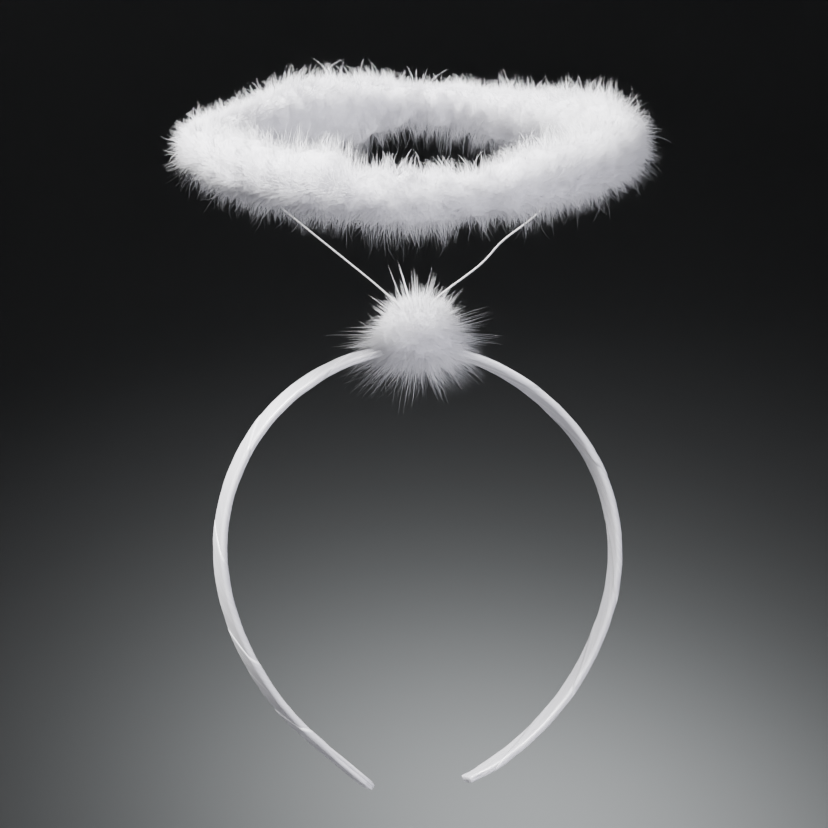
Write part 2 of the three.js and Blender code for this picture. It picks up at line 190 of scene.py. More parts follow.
@dataclass(frozen=True)
class WovenSatin:
    """Polyester satin ribbon: long warp floats along it that shine across the ribbon, and a firm selvedge."""

    flat_width: float = RIBBON_WIDTH
    flat_length: float = RIBBON_LENGTH
    # The real warp is about 0.1 mm apart. It is drawn coarser here, so that it shows
    thread_spacing: float = 0.5
    selvedge_width: float = 0.7
    # How close its fine streaks lie, to a millimetre across the ribbon and along it
    streaks_across: float = 0.9
    streaks_along: float = 0.05
    light: str = "F5F4F7"
    dark: str = "E0DEE6"
    selvedge: str = "F5F4F7"

    def build(self) -> bpy.types.Material:
        """Makes the material. Its pattern lies along the ribbon's own UV map."""
        material, tree = new_material("woven_polyester_satin")
        lie = add_node(tree, "ShaderNodeUVMap", {"uv_map": "UVMap"})
        flat = add_node(
            tree,
            "ShaderNodeVectorMath",
            {"operation": "MULTIPLY", 1: (self.flat_width, self.flat_length, 1.0)},
            {0: lie.outputs["UV"]},
        )
        streak_place = add_node(
            tree,
            "ShaderNodeMapping",
            {"Scale": (self.streaks_across, self.streaks_along, 1.0)},
            {"Vector": flat.outputs["Vector"]},
        )
        streaks = add_node(
            tree,
            "ShaderNodeTexNoise",
            {"Scale": 1.0, "Detail": 4.0, "Roughness": 0.6},
            {"Vector": streak_place.outputs["Vector"]},
        )
        body = add_node(tree, "ShaderNodeValToRGB", links={"Fac": streaks.outputs["Fac"]})
        set_ramp(body, [(0.3, self.dark), (0.72, self.light)])

        apart = add_node(tree, "ShaderNodeSeparateXYZ", links={"Vector": flat.outputs["Vector"]})
        from_middle = add_node(
            tree,
            "ShaderNodeMath",
            {"operation": "SUBTRACT", 1: self.flat_width / 2},
            {0: apart.outputs["X"]},
        )
        reach = add_node(tree, "ShaderNodeMath", {"operation": "ABSOLUTE"}, {0: from_middle.outputs[0]})
        edge = add_node(
            tree,
            "ShaderNodeMapRange",
            {
                "From Min": self.flat_width / 2 - self.selvedge_width,
                "From Max": self.flat_width / 2 - self.selvedge_width / 2,
            },
            {"Value": reach.outputs[0]},
        )
        colour = add_node(
            tree,
            "ShaderNodeMixRGB",
            {"Color2": linear_colour(self.selvedge)},
            {"Fac": edge.outputs["Result"], "Color1": body.outputs["Color"]},
        )
        threads = add_node(
            tree,
            "ShaderNodeTexWave",
            {
                "bands_direction": "X",
                "Scale": WAVE_SPACING / self.thread_spacing,
                "Distortion": 0.6,
                "Detail": 2.0,
            },
            {"Vector": flat.outputs["Vector"]},
        )
        weave = add_node(
            tree,
            "ShaderNodeBump",
            {"Strength": 0.12, "Distance": 0.05 * MM},
            {"Height": threads.outputs["Fac"]},
        )
        pull = add_node(
            tree,
            "ShaderNodeBump",
            {"Strength": 0.35, "Distance": 0.12 * MM},
            {"Height": streaks.outputs["Fac"], "Normal": weave.outputs["Normal"]},
        )
        gloss = add_node(
            tree,
            "ShaderNodeMapRange",
            {"To Min": 0.2, "To Max": 0.32},
            {"Value": streaks.outputs["Fac"]},
        )
        shader = add_node(
            tree,
            "ShaderNodeBsdfPrincipled",
            {
                "IOR": 1.6,
                "Specular IOR Level": 1.0,
                "Sheen Weight": 0.15,
                "Sheen Roughness": 0.4,
                "Anisotropic": 0.4,
            },
            {
                "Base Color": colour.outputs["Color"],
                "Roughness": gloss.outputs["Result"],
                "Normal": pull.outputs["Normal"],
            },
        )
        close_material(tree, shader)
        return material


@dataclass(frozen=True)
class MouldedPlastic:
    """The strip's injection-moulded polypropylene: milky white, semi-matt, with faint flow marks."""

    light: str = "F3F2EE"
    dark: str = "E2E0DC"
    mark_size: float = 3.0

    def build(self) -> bpy.types.Material:
        """Makes the material, with its marks on Object coordinates."""
        material, tree = new_material("moulded_polypropylene")
        place = add_node(tree, "ShaderNodeTexCoord")
        marks = add_node(
            tree,
            "ShaderNodeTexNoise",
            {"Scale": 1 / (self.mark_size * MM), "Detail": 3.0},
            {"Vector": place.outputs["Object"]},
        )
        colour = add_node(tree, "ShaderNodeValToRGB", links={"Fac": marks.outputs["Fac"]})
        set_ramp(colour, [(0.3, self.dark), (0.7, self.light)])
        gloss = add_node(
            tree, "ShaderNodeMapRange", {"To Min": 0.38, "To Max": 0.55}, {"Value": marks.outputs["Fac"]}
        )
        skin = add_node(
            tree, "ShaderNodeBump", {"Strength": 0.2, "Distance": 0.05 * MM}, {"Height": marks.outputs["Fac"]}
        )
        shader = add_node(
            tree,
            "ShaderNodeBsdfPrincipled",
            {"IOR": 1.49},
            {
                "Base Color": colour.outputs["Color"],
                "Roughness": gloss.outputs["Result"],
                "Normal": skin.outputs["Normal"],
            },
        )
        close_material(tree, shader)
        return material


@dataclass(frozen=True)
class CoveredWire:
    """Steel wire wound in white paper yarn: matt, with the winding as fine slanted ridges and painted shade
    in the grooves between them.
    """

    light: str = "F6F5F2"
    # dark is painted shade in the grooves between the winding's turns
    dark: str = "D3D1D2"
    # The real winding is about 0.3 mm apart. It is drawn coarser here, so that it shows
    turn_spacing: float = 0.8

    def build(self) -> bpy.types.Material:
        """Makes the material. Its winding lies along the wire's own UV map, whose V is in millimetres."""
        material, tree = new_material("paper_covered_wire")
        lie = add_node(tree, "ShaderNodeUVMap", {"uv_map": "UVMap"})
        apart = add_node(tree, "ShaderNodeSeparateXYZ", links={"Vector": lie.outputs["UV"]})
        turns = add_node(
            tree,
            "ShaderNodeMath",
            {"operation": "MULTIPLY_ADD", 1: 1 / self.turn_spacing},
            {0: apart.outputs["Y"], 2: apart.outputs["X"]},
        )
        ridge = add_node(tree, "ShaderNodeMath", {"operation": "FRACT"}, {0: turns.outputs[0]})
        crest = add_node(tree, "ShaderNodeMath", {"operation": "PINGPONG", 1: 0.5}, {0: ridge.outputs[0]})
        colour = add_node(tree, "ShaderNodeValToRGB", links={"Fac": crest.outputs[0]})
        # The colour darkens into the grooves between turns as painted shade; the bump gives the real relief
        set_ramp(colour, [(0.0, self.dark), (0.3, self.light)])
        relief = add_node(
            tree, "ShaderNodeBump", {"Strength": 0.5, "Distance": 0.08 * MM}, {"Height": crest.outputs[0]}
        )
        shader = add_node(
            tree,
            "ShaderNodeBsdfPrincipled",
            {"Roughness": 0.55, "IOR": 1.45},
            {"Base Color": colour.outputs["Color"], "Normal": relief.outputs["Normal"]},
        )
        close_material(tree, shader)
        return material


@dataclass(frozen=True)
class MarabouBarbs:
    """Turkey marabou down: dyed-white barbs, dull and soft, each painted greyer towards its root as painted
    shade deep in the down.
    """

    # root is painted shade where the barbs sit deep in the down; middle and tip are the down's own white
    root: str = "E4E2EA"
    middle: str = "F4F3F7"
    tip: str = "FCFBFD"
    dull: str = "E9E7EE"

    def build(self) -> bpy.types.Material:
        """Makes the material. U holds each barb's own tone and V runs from its root to its tip."""
        material, tree = new_material("marabou_barbs")
        lie = add_node(tree, "ShaderNodeUVMap", {"uv_map": "OFBake"})
        apart = add_node(tree, "ShaderNodeSeparateXYZ", links={"Vector": lie.outputs["UV"]})
        along = add_node(tree, "ShaderNodeValToRGB", links={"Fac": apart.outputs["Y"]})
        # From root to tip the colour lightens: painted shade deep in the down
        set_ramp(along, [(0.0, self.root), (0.45, self.middle), (1.0, self.tip)])
        tone = add_node(
            tree, "ShaderNodeMapRange", {"To Min": 0.0, "To Max": 0.4}, {"Value": apart.outputs["X"]}
        )
        colour = add_node(
            tree,
            "ShaderNodeMixRGB",
            {"Color2": linear_colour(self.dull)},
            {"Fac": tone.outputs["Result"], "Color1": along.outputs["Color"]},
        )
        shader = add_node(
            tree,
            "ShaderNodeBsdfPrincipled",
            {"Roughness": 0.85, "Specular IOR Level": 0.15, "Sheen Weight": 0.2, "Sheen Roughness": 0.6},
            {"Base Color": colour.outputs["Color"]},
        )
        close_material(tree, shader)
        return material


@dataclass(frozen=True)
class MarabouBed:
    """The thick of the down between the longer barbs: the same white, matted into small soft clumps."""

    light: str = "F7F6FA"
    dark: str = "ECEAF0"
    clump_size: float = 1.6

    def build(self) -> bpy.types.Material:
        """Makes the material, with its clumps on Object coordinates."""
        material, tree = new_material("marabou_underdown")
        place = add_node(tree, "ShaderNodeTexCoord")
        clumps = add_node(
            tree,
            "ShaderNodeTexNoise",
            {"Scale": 1 / (self.clump_size * MM), "Detail": 5.0, "Roughness": 0.65},
            {"Vector": place.outputs["Object"]},
        )
        colour = add_node(tree, "ShaderNodeValToRGB", links={"Fac": clumps.outputs["Fac"]})
        set_ramp(colour, [(0.3, self.dark), (0.65, self.light)])
        relief = add_node(
            tree, "ShaderNodeBump", {"Strength": 0.4, "Distance": 0.4 * MM}, {"Height": clumps.outputs["Fac"]}
        )
        shader = add_node(
            tree,
            "ShaderNodeBsdfPrincipled",
            {"Roughness": 0.9, "Specular IOR Level": 0.1, "Sheen Weight": 0.2, "Sheen Roughness": 0.6},
            {"Base Color": colour.outputs["Color"], "Normal": relief.outputs["Normal"]},
        )
        close_material(tree, shader)
        return material


def shaped_grid(name: str, across: int, along: int, place: Placing) -> bpy.types.Object:
    """Adds a flat grid and shapes it, keeping its UV map.

    Args:
        name: The piece's name.
        across: Cells across the grid, along its first share.
        along: Cells along the grid, along its second share.
        place: Turns two arrays of shares from 0 to 1 into an n x 3 array of places in millimetres.

    Returns:
        The new piece.
    """
    deselect_all()
    bpy.ops.mesh.primitive_grid_add(x_subdivisions=across, y_subdivisions=along, size=2.0, calc_uvs=True)
    piece = bpy.context.object
    piece.name = name
    piece.data.name = name
    flat = corners_of(piece.data)
    move_corners(piece.data, place((flat[:, 0] + 1) / 2, (flat[:, 1] + 1) / 2) * MM)
    return piece


def weld(piece: bpy.types.Object, distance: float) -> None:
    """Merges a piece's double corners, and deletes faces with no area and what is then loose.

    Args:
        piece: The piece.
        distance: Corners closer than this, in millimetres, become one.
    """
    take(piece)
    bpy.ops.object.mode_set(mode="EDIT")
    bpy.ops.mesh.select_all(action="SELECT")
    bpy.ops.mesh.remove_doubles(threshold=distance * MM)
    bpy.ops.mesh.dissolve_degenerate(threshold=distance * MM)
    bpy.ops.mesh.delete_loose(use_verts=True, use_edges=True, use_faces=False)
    bpy.ops.object.mode_set(mode="OBJECT")


def add_modifier(piece: bpy.types.Object, kind: str, **settings) -> None:
    """Gives a piece one modifier and applies it."""
    take(piece)
    modifier = piece.modifiers.new(kind.lower(), kind)
    for name, value in settings.items():
        setattr(modifier, name, value)
    bpy.ops.object.modifier_apply(modifier=modifier.name)


def dress(piece: bpy.types.Object, material: bpy.types.Material, slot: Slot, *nodes: Node) -> None:
    """Gives a new piece its finish and its body, and hides the solids that it stands for.

    Args:
        piece: The piece, in place.
        material: Its finish.
        slot: The record's slot for it. It is not used.
        nodes: The solids that it stands for.
    """
    piece.data.materials.clear()
    piece.data.materials.append(material)
    piece.data.shade_smooth()
    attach(piece, BODY)
    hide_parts(*[node.value for node in nodes])
    piece.data.calc_loop_triangles()
    log.info("%s: %d triangles", piece.name, len(piece.data.loop_triangles))


@dataclass(frozen=True)
class Arc:
    """One arc of the band's centre line."""

    radius: float
    turn: float

    @property
    def length(self) -> float:
        """The arc's length."""
        return self.radius * math.radians(self.turn)


@dataclass(frozen=True)
class Lean:
    """How far the band's outer face leans to the front, at a share of its length from the left tip."""

    share: float
    degrees: float


@dataclass
class AliceBand:
    """The stiff strip and the satin ribbon that is wound round it from tip to tip."""

    left_arcs: tuple[Arc, ...] = (Arc(63, 105), Arc(89, 33.5), Arc(500, 3))
    right_arcs: tuple[Arc, ...] = (Arc(63, 29), Arc(81, 19), Arc(62, 60), Arc(88, 47.5))
    leans: tuple[Lean, ...] = (
        Lean(0.0, 3),
        Lean(0.12, 7),
        Lean(0.27, 4.5),
        Lean(0.39, 8.5),
        Lean(0.45, 6.5),
        Lean(0.52, -5),
        Lean(0.62, -6),
        Lean(0.75, 0),
        Lean(1.0, -1),
    )
    middle_height: float = CROWN_MIDDLE
    strip_half_depth: float = 4.6
    strip_tip_radius: float = 5.0
    strip_right_inset: float = 3.5
    sleeve_narrowing: float = 1.5
    left_inset: float = 0.8
    right_inset: float = 0.4
    cut_slant: float = 0.4
    # The ribbon's inner wall round the strip, and its single layer of cloth
    wall_half_depth: float = 4.95
    wall_half_thickness: float = 0.92
    wall_corner: float = 0.88
    cloth: float = 0.1
    layer_gap: float = 0.02
    ribbon_width: float = RIBBON_WIDTH
    ribbon_length: float = RIBBON_LENGTH
    least_lap: float = 1.2
    lap_rise_length: float = 4.0
    crease_height: float = 0.09
    crease_fade: float = 2.0
    cells_across: int = 20
    cells_a_turn: int = 48
    # A narrow edge of the sleeve, against half its thickness, and its share of a turn's cells
    edge_stretch: float = 1.25
    edge_cells: float = 0.12
    # How the ribbon's upper edge moves on in one turn, as shares of the turn and of its pitch. It crosses the
    # outer face more steeply than the inner one, as a ribbon does that is pulled tight over the outside
    edge_turns: tuple[float, ...] = (0, 0.05, 0.45, 0.55, 0.95, 1)
    edge_moves: tuple[float, ...] = (0, 0.06, 0.34, 0.42, 0.94, 1)
    # The first stretch from the left tip, where the cloth's two edges meet along the front edge
    seam_length: float = 21.0
    seam_depth: float = 0.55
    seam_width: float = 0.03
    seam_fade: float = 8.0
    seam_sharpness: float = 2.0
    seam_lip: float = 0.45
    seam_lip_place: float = 1.6
    # The sleeve thins towards the left tip, over this length and to this share
    tip_rounding: float = 3.2
    tip_share: float = 0.66
    # At the right tip the cloth is tucked in over the strip's end
    tuck_bulge: float = 0.1
    seed: int = 5
    # Where each turn's upper edge crosses the middle of the band's front edge, from the left tip
    laps: tuple[float, ...] = (-34, -2, 30.5, 58, 91.5, 127, 163, 199, 235, 269.5, 312, 346, 380, 416, 452)

    @property
    def left_length(self) -> float:
        """The centre line's length from the crown to the left tip."""
        return sum(arc.length for arc in self.left_arcs)

    @property
    def length(self) -> float:
        """The centre line's length from tip to tip."""
        return self.left_length + sum(arc.length for arc in self.right_arcs)

    @property
    def girth(self) -> float:
        """The way once round the sleeve's wall, as if its corners were square."""
        return 4 * (self.wall_half_depth + self.wall_half_thickness)

    def side_place(
        self, arcs: Sequence[Arc], distance: np.ndarray
    ) -> tuple[np.ndarray, np.ndarray, np.ndarray]:
        """Finds places on one side of the centre line.

        Args:
            arcs: That side's arcs, from the crown down.
            distance: Distances from the crown.

        Returns:
            How far out, how high, and the heading below level in radians.
        """
        out = np.zeros_like(distance)
        up = np.full_like(distance, self.middle_height)
        heading = np.zeros_like(distance)
        left = distance.copy()
        for index, arc in enumerate(arcs):
            last = index == len(arcs) - 1
            part = (left if last else np.minimum(left, arc.length)) / arc.radius
            out += arc.radius * (np.sin(heading + part) - np.sin(heading))
            up -= arc.radius * (np.cos(heading) - np.cos(heading + part))
            heading = heading + part
            left = left - part * arc.radius
        return out, up, heading

    def lean_at(self, distance: np.ndarray) -> np.ndarray:
        """Finds the lean along the band.

        Args:
            distance: Distances from the left tip.

        Returns:
            The lean at each, in radians.
        """
        share = np.clip(distance / self.length, 0, 1)
        shares = np.array([lean.share for lean in self.leans])
        degrees = np.array([lean.degrees for lean in self.leans])
        after = np.clip(np.searchsorted(shares, share), 1, len(shares) - 1)
        part = smoothstep((share - shares[after - 1]) / (shares[after] - shares[after - 1]))
        return np.radians(degrees[after - 1] + (degrees[after] - degrees[after - 1]) * part)

    def place(self, distance: np.ndarray, back: np.ndarray, outward: np.ndarray) -> np.ndarray:
        """Finds points beside the band's centre line.

        Args:
            distance: Distances along the band from its left tip.
            back: How far each point is set back from the centre line.
            outward: How far each point is set outward from it.

        Returns:
            An n x 3 array.
        """
        on_left = distance < self.left_length
        from_crown = np.abs(distance - self.left_length)
        left = self.side_place(self.left_arcs, from_crown)
        right = self.side_place(self.right_arcs, from_crown)
        out, up, heading = (np.where(on_left, a, b) for a, b in zip(left, right))
        lean = self.lean_at(distance)
        away = outward * np.cos(lean) + back * np.sin(lean)
        side = np.where(on_left, -1.0, 1.0)
        return np.stack(
            [
                side * (out + away * np.sin(heading)),
                back * np.cos(lean) - outward * np.sin(lean),
                up + away * np.cos(heading),
            ],
            axis=-1,
        )

    def narrowing(self, distance: np.ndarray) -> np.ndarray:
        """Finds how far the sleeve's edges are drawn in towards the strip's tips.

        Args:
            distance: Distances from the left tip.

        Returns:
            The narrowing of each edge.
        """
        end = self.length - self.strip_right_inset
        from_tip = np.clip(np.minimum(distance, end - distance), 0, None)
        part = np.minimum(from_tip / self.strip_tip_radius, 1)
        roundness = np.sqrt(np.clip(1 - (1 - part) ** 2, 0, 1))
        return np.minimum(self.strip_half_depth * (1 - roundness), self.sleeve_narrowing)

    def wall(self, share: np.ndarray) -> tuple[np.ndarray, np.ndarray, np.ndarray, np.ndarray]:
        """Follows the sleeve's inner wall once round the strip.

        Args:
            share: The share of the way round, from the middle of the front edge over the outer face.

        Returns:
            How far back and outward each point is, and its outward direction in the same two parts.
        """
        depth = self.wall_half_depth - self.wall_corner
        thick = self.wall_half_thickness - self.wall_corner
        corner_steps = 8
        places = [(-self.wall_half_depth, 0.0)]
        directions = [(-1.0, 0.0)]
        corners = [(-depth, thick), (depth, thick), (depth, -thick), (-depth, -thick)]
        for quarter, (x, y) in enumerate(corners):
            start = math.pi - quarter * math.pi / 2
            for step in range(corner_steps + 1):
                angle = start - step / corner_steps * math.pi / 2
                head = (math.cos(angle), math.sin(angle))
                places.append((x + self.wall_corner * head[0], y + self.wall_corner * head[1]))
                directions.append(head)
        places.append(places[0])
        directions.append(directions[0])
        track = np.array(places)
        gone = np.concatenate([[0], np.cumsum(np.linalg.norm(np.diff(track, axis=0), axis=1))])
        heads = np.array(directions)
        at = np.mod(share, 1.0) * gone[-1]
        back, outward = (np.interp(at, gone, track[:, i]) for i in (0, 1))
        back_part, out_part = (np.interp(at, gone, heads[:, i]) for i in (0, 1))
        return back, outward, back_part, out_part

    def evened(self, share: np.ndarray) -> np.ndarray:
        """Spaces a turn's cells closer together at the sleeve's edges.

        Args:
            share: Even shares of a turn's cells.

        Returns:
            Shares of the way round.
        """
        edge = (self.wall_half_thickness * self.edge_stretch) / self.girth
        face = 0.5 - 2 * edge
        way = np.cumsum([0, edge, face, 2 * edge, face, edge])
        cells = self.edge_cells
        return np.interp(share, [0, cells, 0.5 - cells, 0.5 + cells, 1 - cells, 1], way)

    def edge_distance(self, turns: np.ndarray) -> np.ndarray:
        """Follows the ribbon's upper edge.

        Args:
            turns: Numbers of turns that the ribbon has made.

        Returns:
            Where the edge then is along the band, from the left tip.
        """
        laps = np.array(self.laps)
        whole = np.clip(np.floor(turns), 0, len(laps) - 2).astype(int)
        part = np.interp(turns - whole, self.edge_turns, self.edge_moves)
        return laps[whole] + (laps[whole + 1] - laps[whole]) * part

    def creases(self, across: np.ndarray, along: np.ndarray) -> np.ndarray:
        """Draws shallow pull creases, mostly along the ribbon.

        Args:
            across: Distances across the ribbon.
            along: Distances along it.

        Returns:
            Their height, from 0 to 1.
        """
        random = np.random.default_rng(self.seed)
        height = np.zeros_like(across)
        waves = 9
        for _ in range(waves):
            length = random.uniform(2.2, 7.0)
            slant = random.uniform(-0.25, 0.25)
            phase = random.uniform(0, 2 * math.pi)
            drift = np.sin(along / random.uniform(11, 37) + phase)
            height += np.sin(2 * math.pi * (across + slant * along) / length + phase + drift)
        return 0.5 + 0.5 * np.clip(height / math.sqrt(waves), -1, 1)

    def wound(self, across: np.ndarray, along: np.ndarray) -> np.ndarray:
        """Winds the flat ribbon round the strip.

        Args:
            across: Shares across the ribbon, from its lower to its upper edge.
            along: Shares along it.

        Returns:
            Its places.
        """
        first_turn = 1.0
        last_turn = len(self.laps) - 1.0
        turns = first_turn + along * (last_turn - first_turn)
        way = self.evened(np.mod(turns, 1.0))
        turns = np.floor(turns) + way
        upper = self.edge_distance(turns)
        below = self.edge_distance(turns - 1)
        pitch = upper - below
        slanted = self.ribbon_width * np.sqrt(pitch**2 + self.girth**2) / self.girth
        lower = np.minimum(upper - slanted, below - self.least_lap)
        back, outward, back_part, out_part = self.wall(way)
        start = self.left_inset
        end = self.length - self.right_inset + self.cut_slant * back / self.wall_half_depth
        along_band = lower + (upper - lower) * across
        distance = np.clip(along_band, start, end)
        cell = (upper - lower) / self.cells_across
        tucked = np.clip((along_band - end) / cell - 1, 0, 1)
        share = np.clip((distance - lower) / (upper - lower), 0, 1)
        from_edge = (1 - share) * (upper - lower)
        lap = below - lower
        rise = smoothstep(1 - (from_edge - lap) / self.lap_rise_length)
        lift = rise * (self.cloth + self.layer_gap)
        creases = self.creases(share * self.ribbon_width, turns * self.girth)
        lift += self.crease_height * creases * smoothstep(from_edge / self.crease_fade)
        from_front = np.abs(np.mod(way + 0.5, 1.0) - 0.5) / self.seam_width
        seam = smoothstep((self.seam_length - distance) / self.seam_fade) * self.seam_depth
        lip = self.seam_lip * np.exp(-((from_front - self.seam_lip_place) ** 2))
        lift += seam * (lip - np.exp(-(from_front**2) * self.seam_sharpness))
        near_tip = np.clip((distance - start) / self.tip_rounding, 0, 1)
        outward = outward * (self.tip_share + (1 - self.tip_share) * np.sqrt(1 - (1 - near_tip) ** 2))
        drawn = self.narrowing(distance) * np.abs(back) / self.wall_half_depth
        back = back - np.sign(back) * drawn + back_part * lift
        distance = distance + self.tuck_bulge * tucked
        return self.place(distance, back, (outward + out_part * lift) * (1 - tucked))

    def make_ribbon(self, satin: bpy.types.Material) -> bpy.types.Object:
        """Builds the wound ribbon as one strip of cloth with its real laps."""
        turns = len(self.laps) - 2
        ribbon = shaped_grid("satin_winding", self.cells_across, turns * self.cells_a_turn, self.wound)
        weld(ribbon, 0.002)
        add_modifier(ribbon, "SOLIDIFY", thickness=self.cloth * MM, offset=1.0, use_even_offset=False)
        dress(ribbon, satin, Slot.SATIN, Node.RIBBON)
        return ribbon

    def dress_core(self, plastic: bpy.types.Material) -> None:
        """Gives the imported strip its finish."""
        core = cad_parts[Node.CORE.value]
        core.data.materials.clear()
        core.data.materials.append(plastic)


def turned(places: np.ndarray, degrees: float) -> np.ndarray:
    """Turns places or directions about the upright axis.

    Args:
        places: An array whose last axis is X, Y and Z.
        degrees: The turn, from X towards Y.

    Returns:
        The turned array.
    """
    turn = math.radians(degrees)
    x, y, z = (places[..., i] for i in range(3))
    return np.stack(
        [x * math.cos(turn) - y * math.sin(turn), x * math.sin(turn) + y * math.cos(turn), z], axis=-1
    )


@dataclass
class HaloStand:
    """Where the halo stands: its turn on the band and its ring."""

    turn: float = HALO_TURN
    ring_tip: float = 17.8
    ring_radius: float = 65.0
    centre_x: float = -1.5
    centre_z: float = 66.2

    def to_band(self, places: np.ndarray) -> np.ndarray:
        """Turns places or directions in the halo's own upright frame into the band's frame."""
        return turned(places, self.turn)

    def place(self, around: np.ndarray, over: np.ndarray, reach: np.ndarray) -> np.ndarray:
        """Finds points round the ring.

        Args:
            around: Angles round the ring in radians, from its right end towards its back.
            over: Angles round the boa's section in radians, from outside the ring over its top.
            reach: Distances from the hoop.

        Returns:
            Their places.
        """
        out = self.ring_radius + reach * np.cos(over)
        x, y, z = out * np.cos(around), out * np.sin(around), reach * np.sin(over)
        tip = math.radians(self.ring_tip)
        tipped_y = y * math.cos(tip) - z * math.sin(tip)
        tipped_z = y * math.sin(tip) + z * math.cos(tip)
        upright = np.stack([x + self.centre_x, tipped_y, tipped_z + self.centre_z], axis=-1)
        return self.to_band(upright)


def catmull_rom(points: Sequence[tuple[float, float]], shares: np.ndarray) -> np.ndarray:
    """Follows a centripetal Catmull-Rom curve through points in a plane.

    Args:
        points: Its points.
        shares: Shares of its spans, from 0 at its start to 1 at its end.

    Returns:
        An n x 2 array.
    """
    given = np.array(points, float)
    held = np.vstack([2 * given[0] - given[1], given, 2 * given[-1] - given[-2]])
    spans = len(given) - 1
    at = np.clip(shares, 0, 1) * spans
    first = np.minimum(at.astype(int), spans - 1)
    part = at - first
    p0, p1, p2, p3 = (held[first + i] for i in range(4))
    pairs = ((p0, p1), (p1, p2), (p2, p3))
    steps = [np.maximum(np.linalg.norm(b - a, axis=1) ** 0.5, 1e-6) for a, b in pairs]
    d0, d1, d2 = (step[:, None] for step in steps)
    start = ((p1 - p0) / d0 - (p2 - p0) / (d0 + d1) + (p2 - p1) / d1) * d1
    end = ((p2 - p1) / d1 - (p3 - p1) / (d1 + d2) + (p3 - p2) / d2) * d1
    t = part[:, None]
    return (
        p1
        + start * t
        + (-3 * p1 + 3 * p2 - 2 * start - end) * t**2
        + (2 * p1 - 2 * p2 + start + end) * t**3
    )


def make_tube(
    name: str, line: np.ndarray, radius: float, sides: int, closed: bool = False
) -> bpy.types.Object:
    """Builds a round wire along a line of points.

    Args:
        name: The piece's name.
        line: The wire's middle, as an n x 3 array in millimetres.
        radius: The wire's radius.
        sides: Faces round the wire.
        closed: Whether the line ends where it starts.

    Returns:
        The wire, with V of its UV map in millimetres.
    """
    gone = np.concatenate([[0], np.cumsum(np.linalg.norm(np.diff(line, axis=0), axis=1))])
    tangents = unit(np.gradient(line, gone, axis=0))
    if closed:
        tangents[0] = tangents[-1] = unit(tangents[0] + tangents[-1])
    level = np.zeros_like(tangents)
    level[0] = unit(np.cross(tangents[0], [0.3, 1.0, 0.2]))
    for index in range(1, len(line)):
        carried = level[index - 1] - tangents[index] * (level[index - 1] @ tangents[index])
        level[index] = unit(carried)
    upward = np.cross(tangents, level)

    def place(around: np.ndarray, along: np.ndarray) -> np.ndarray:
        """Puts the grid's corners on the wire's skin."""
        row = np.rint(along * (len(line) - 1)).astype(int)
        angle = 2 * math.pi * around
        spoke = level[row] * np.cos(angle)[:, None] + upward[row] * np.sin(angle)[:, None]
        return line[row] + radius * spoke

    wire = shaped_grid(name, sides, len(line) - 1, place)
    uv = wire.data.uv_layers["UVMap"].uv
    lie = np.zeros(len(uv) * 2, np.float32)
    uv.foreach_get("vector", lie)
    lie = lie.reshape(-1, 2)
    lie[:, 1] *= gone[-1]
    uv.foreach_set("vector", lie.ravel())
    weld(wire, 0.001)
    if not closed:
        take(wire)
        bpy.ops.object.mode_set(mode="EDIT")
        bpy.ops.mesh.select_all(action="DESELECT")
        bpy.ops.mesh.select_non_manifold(extend=False)
        bpy.ops.mesh.fill_holes(sides=0)
        bpy.ops.object.mode_set(mode="OBJECT")
    return wire


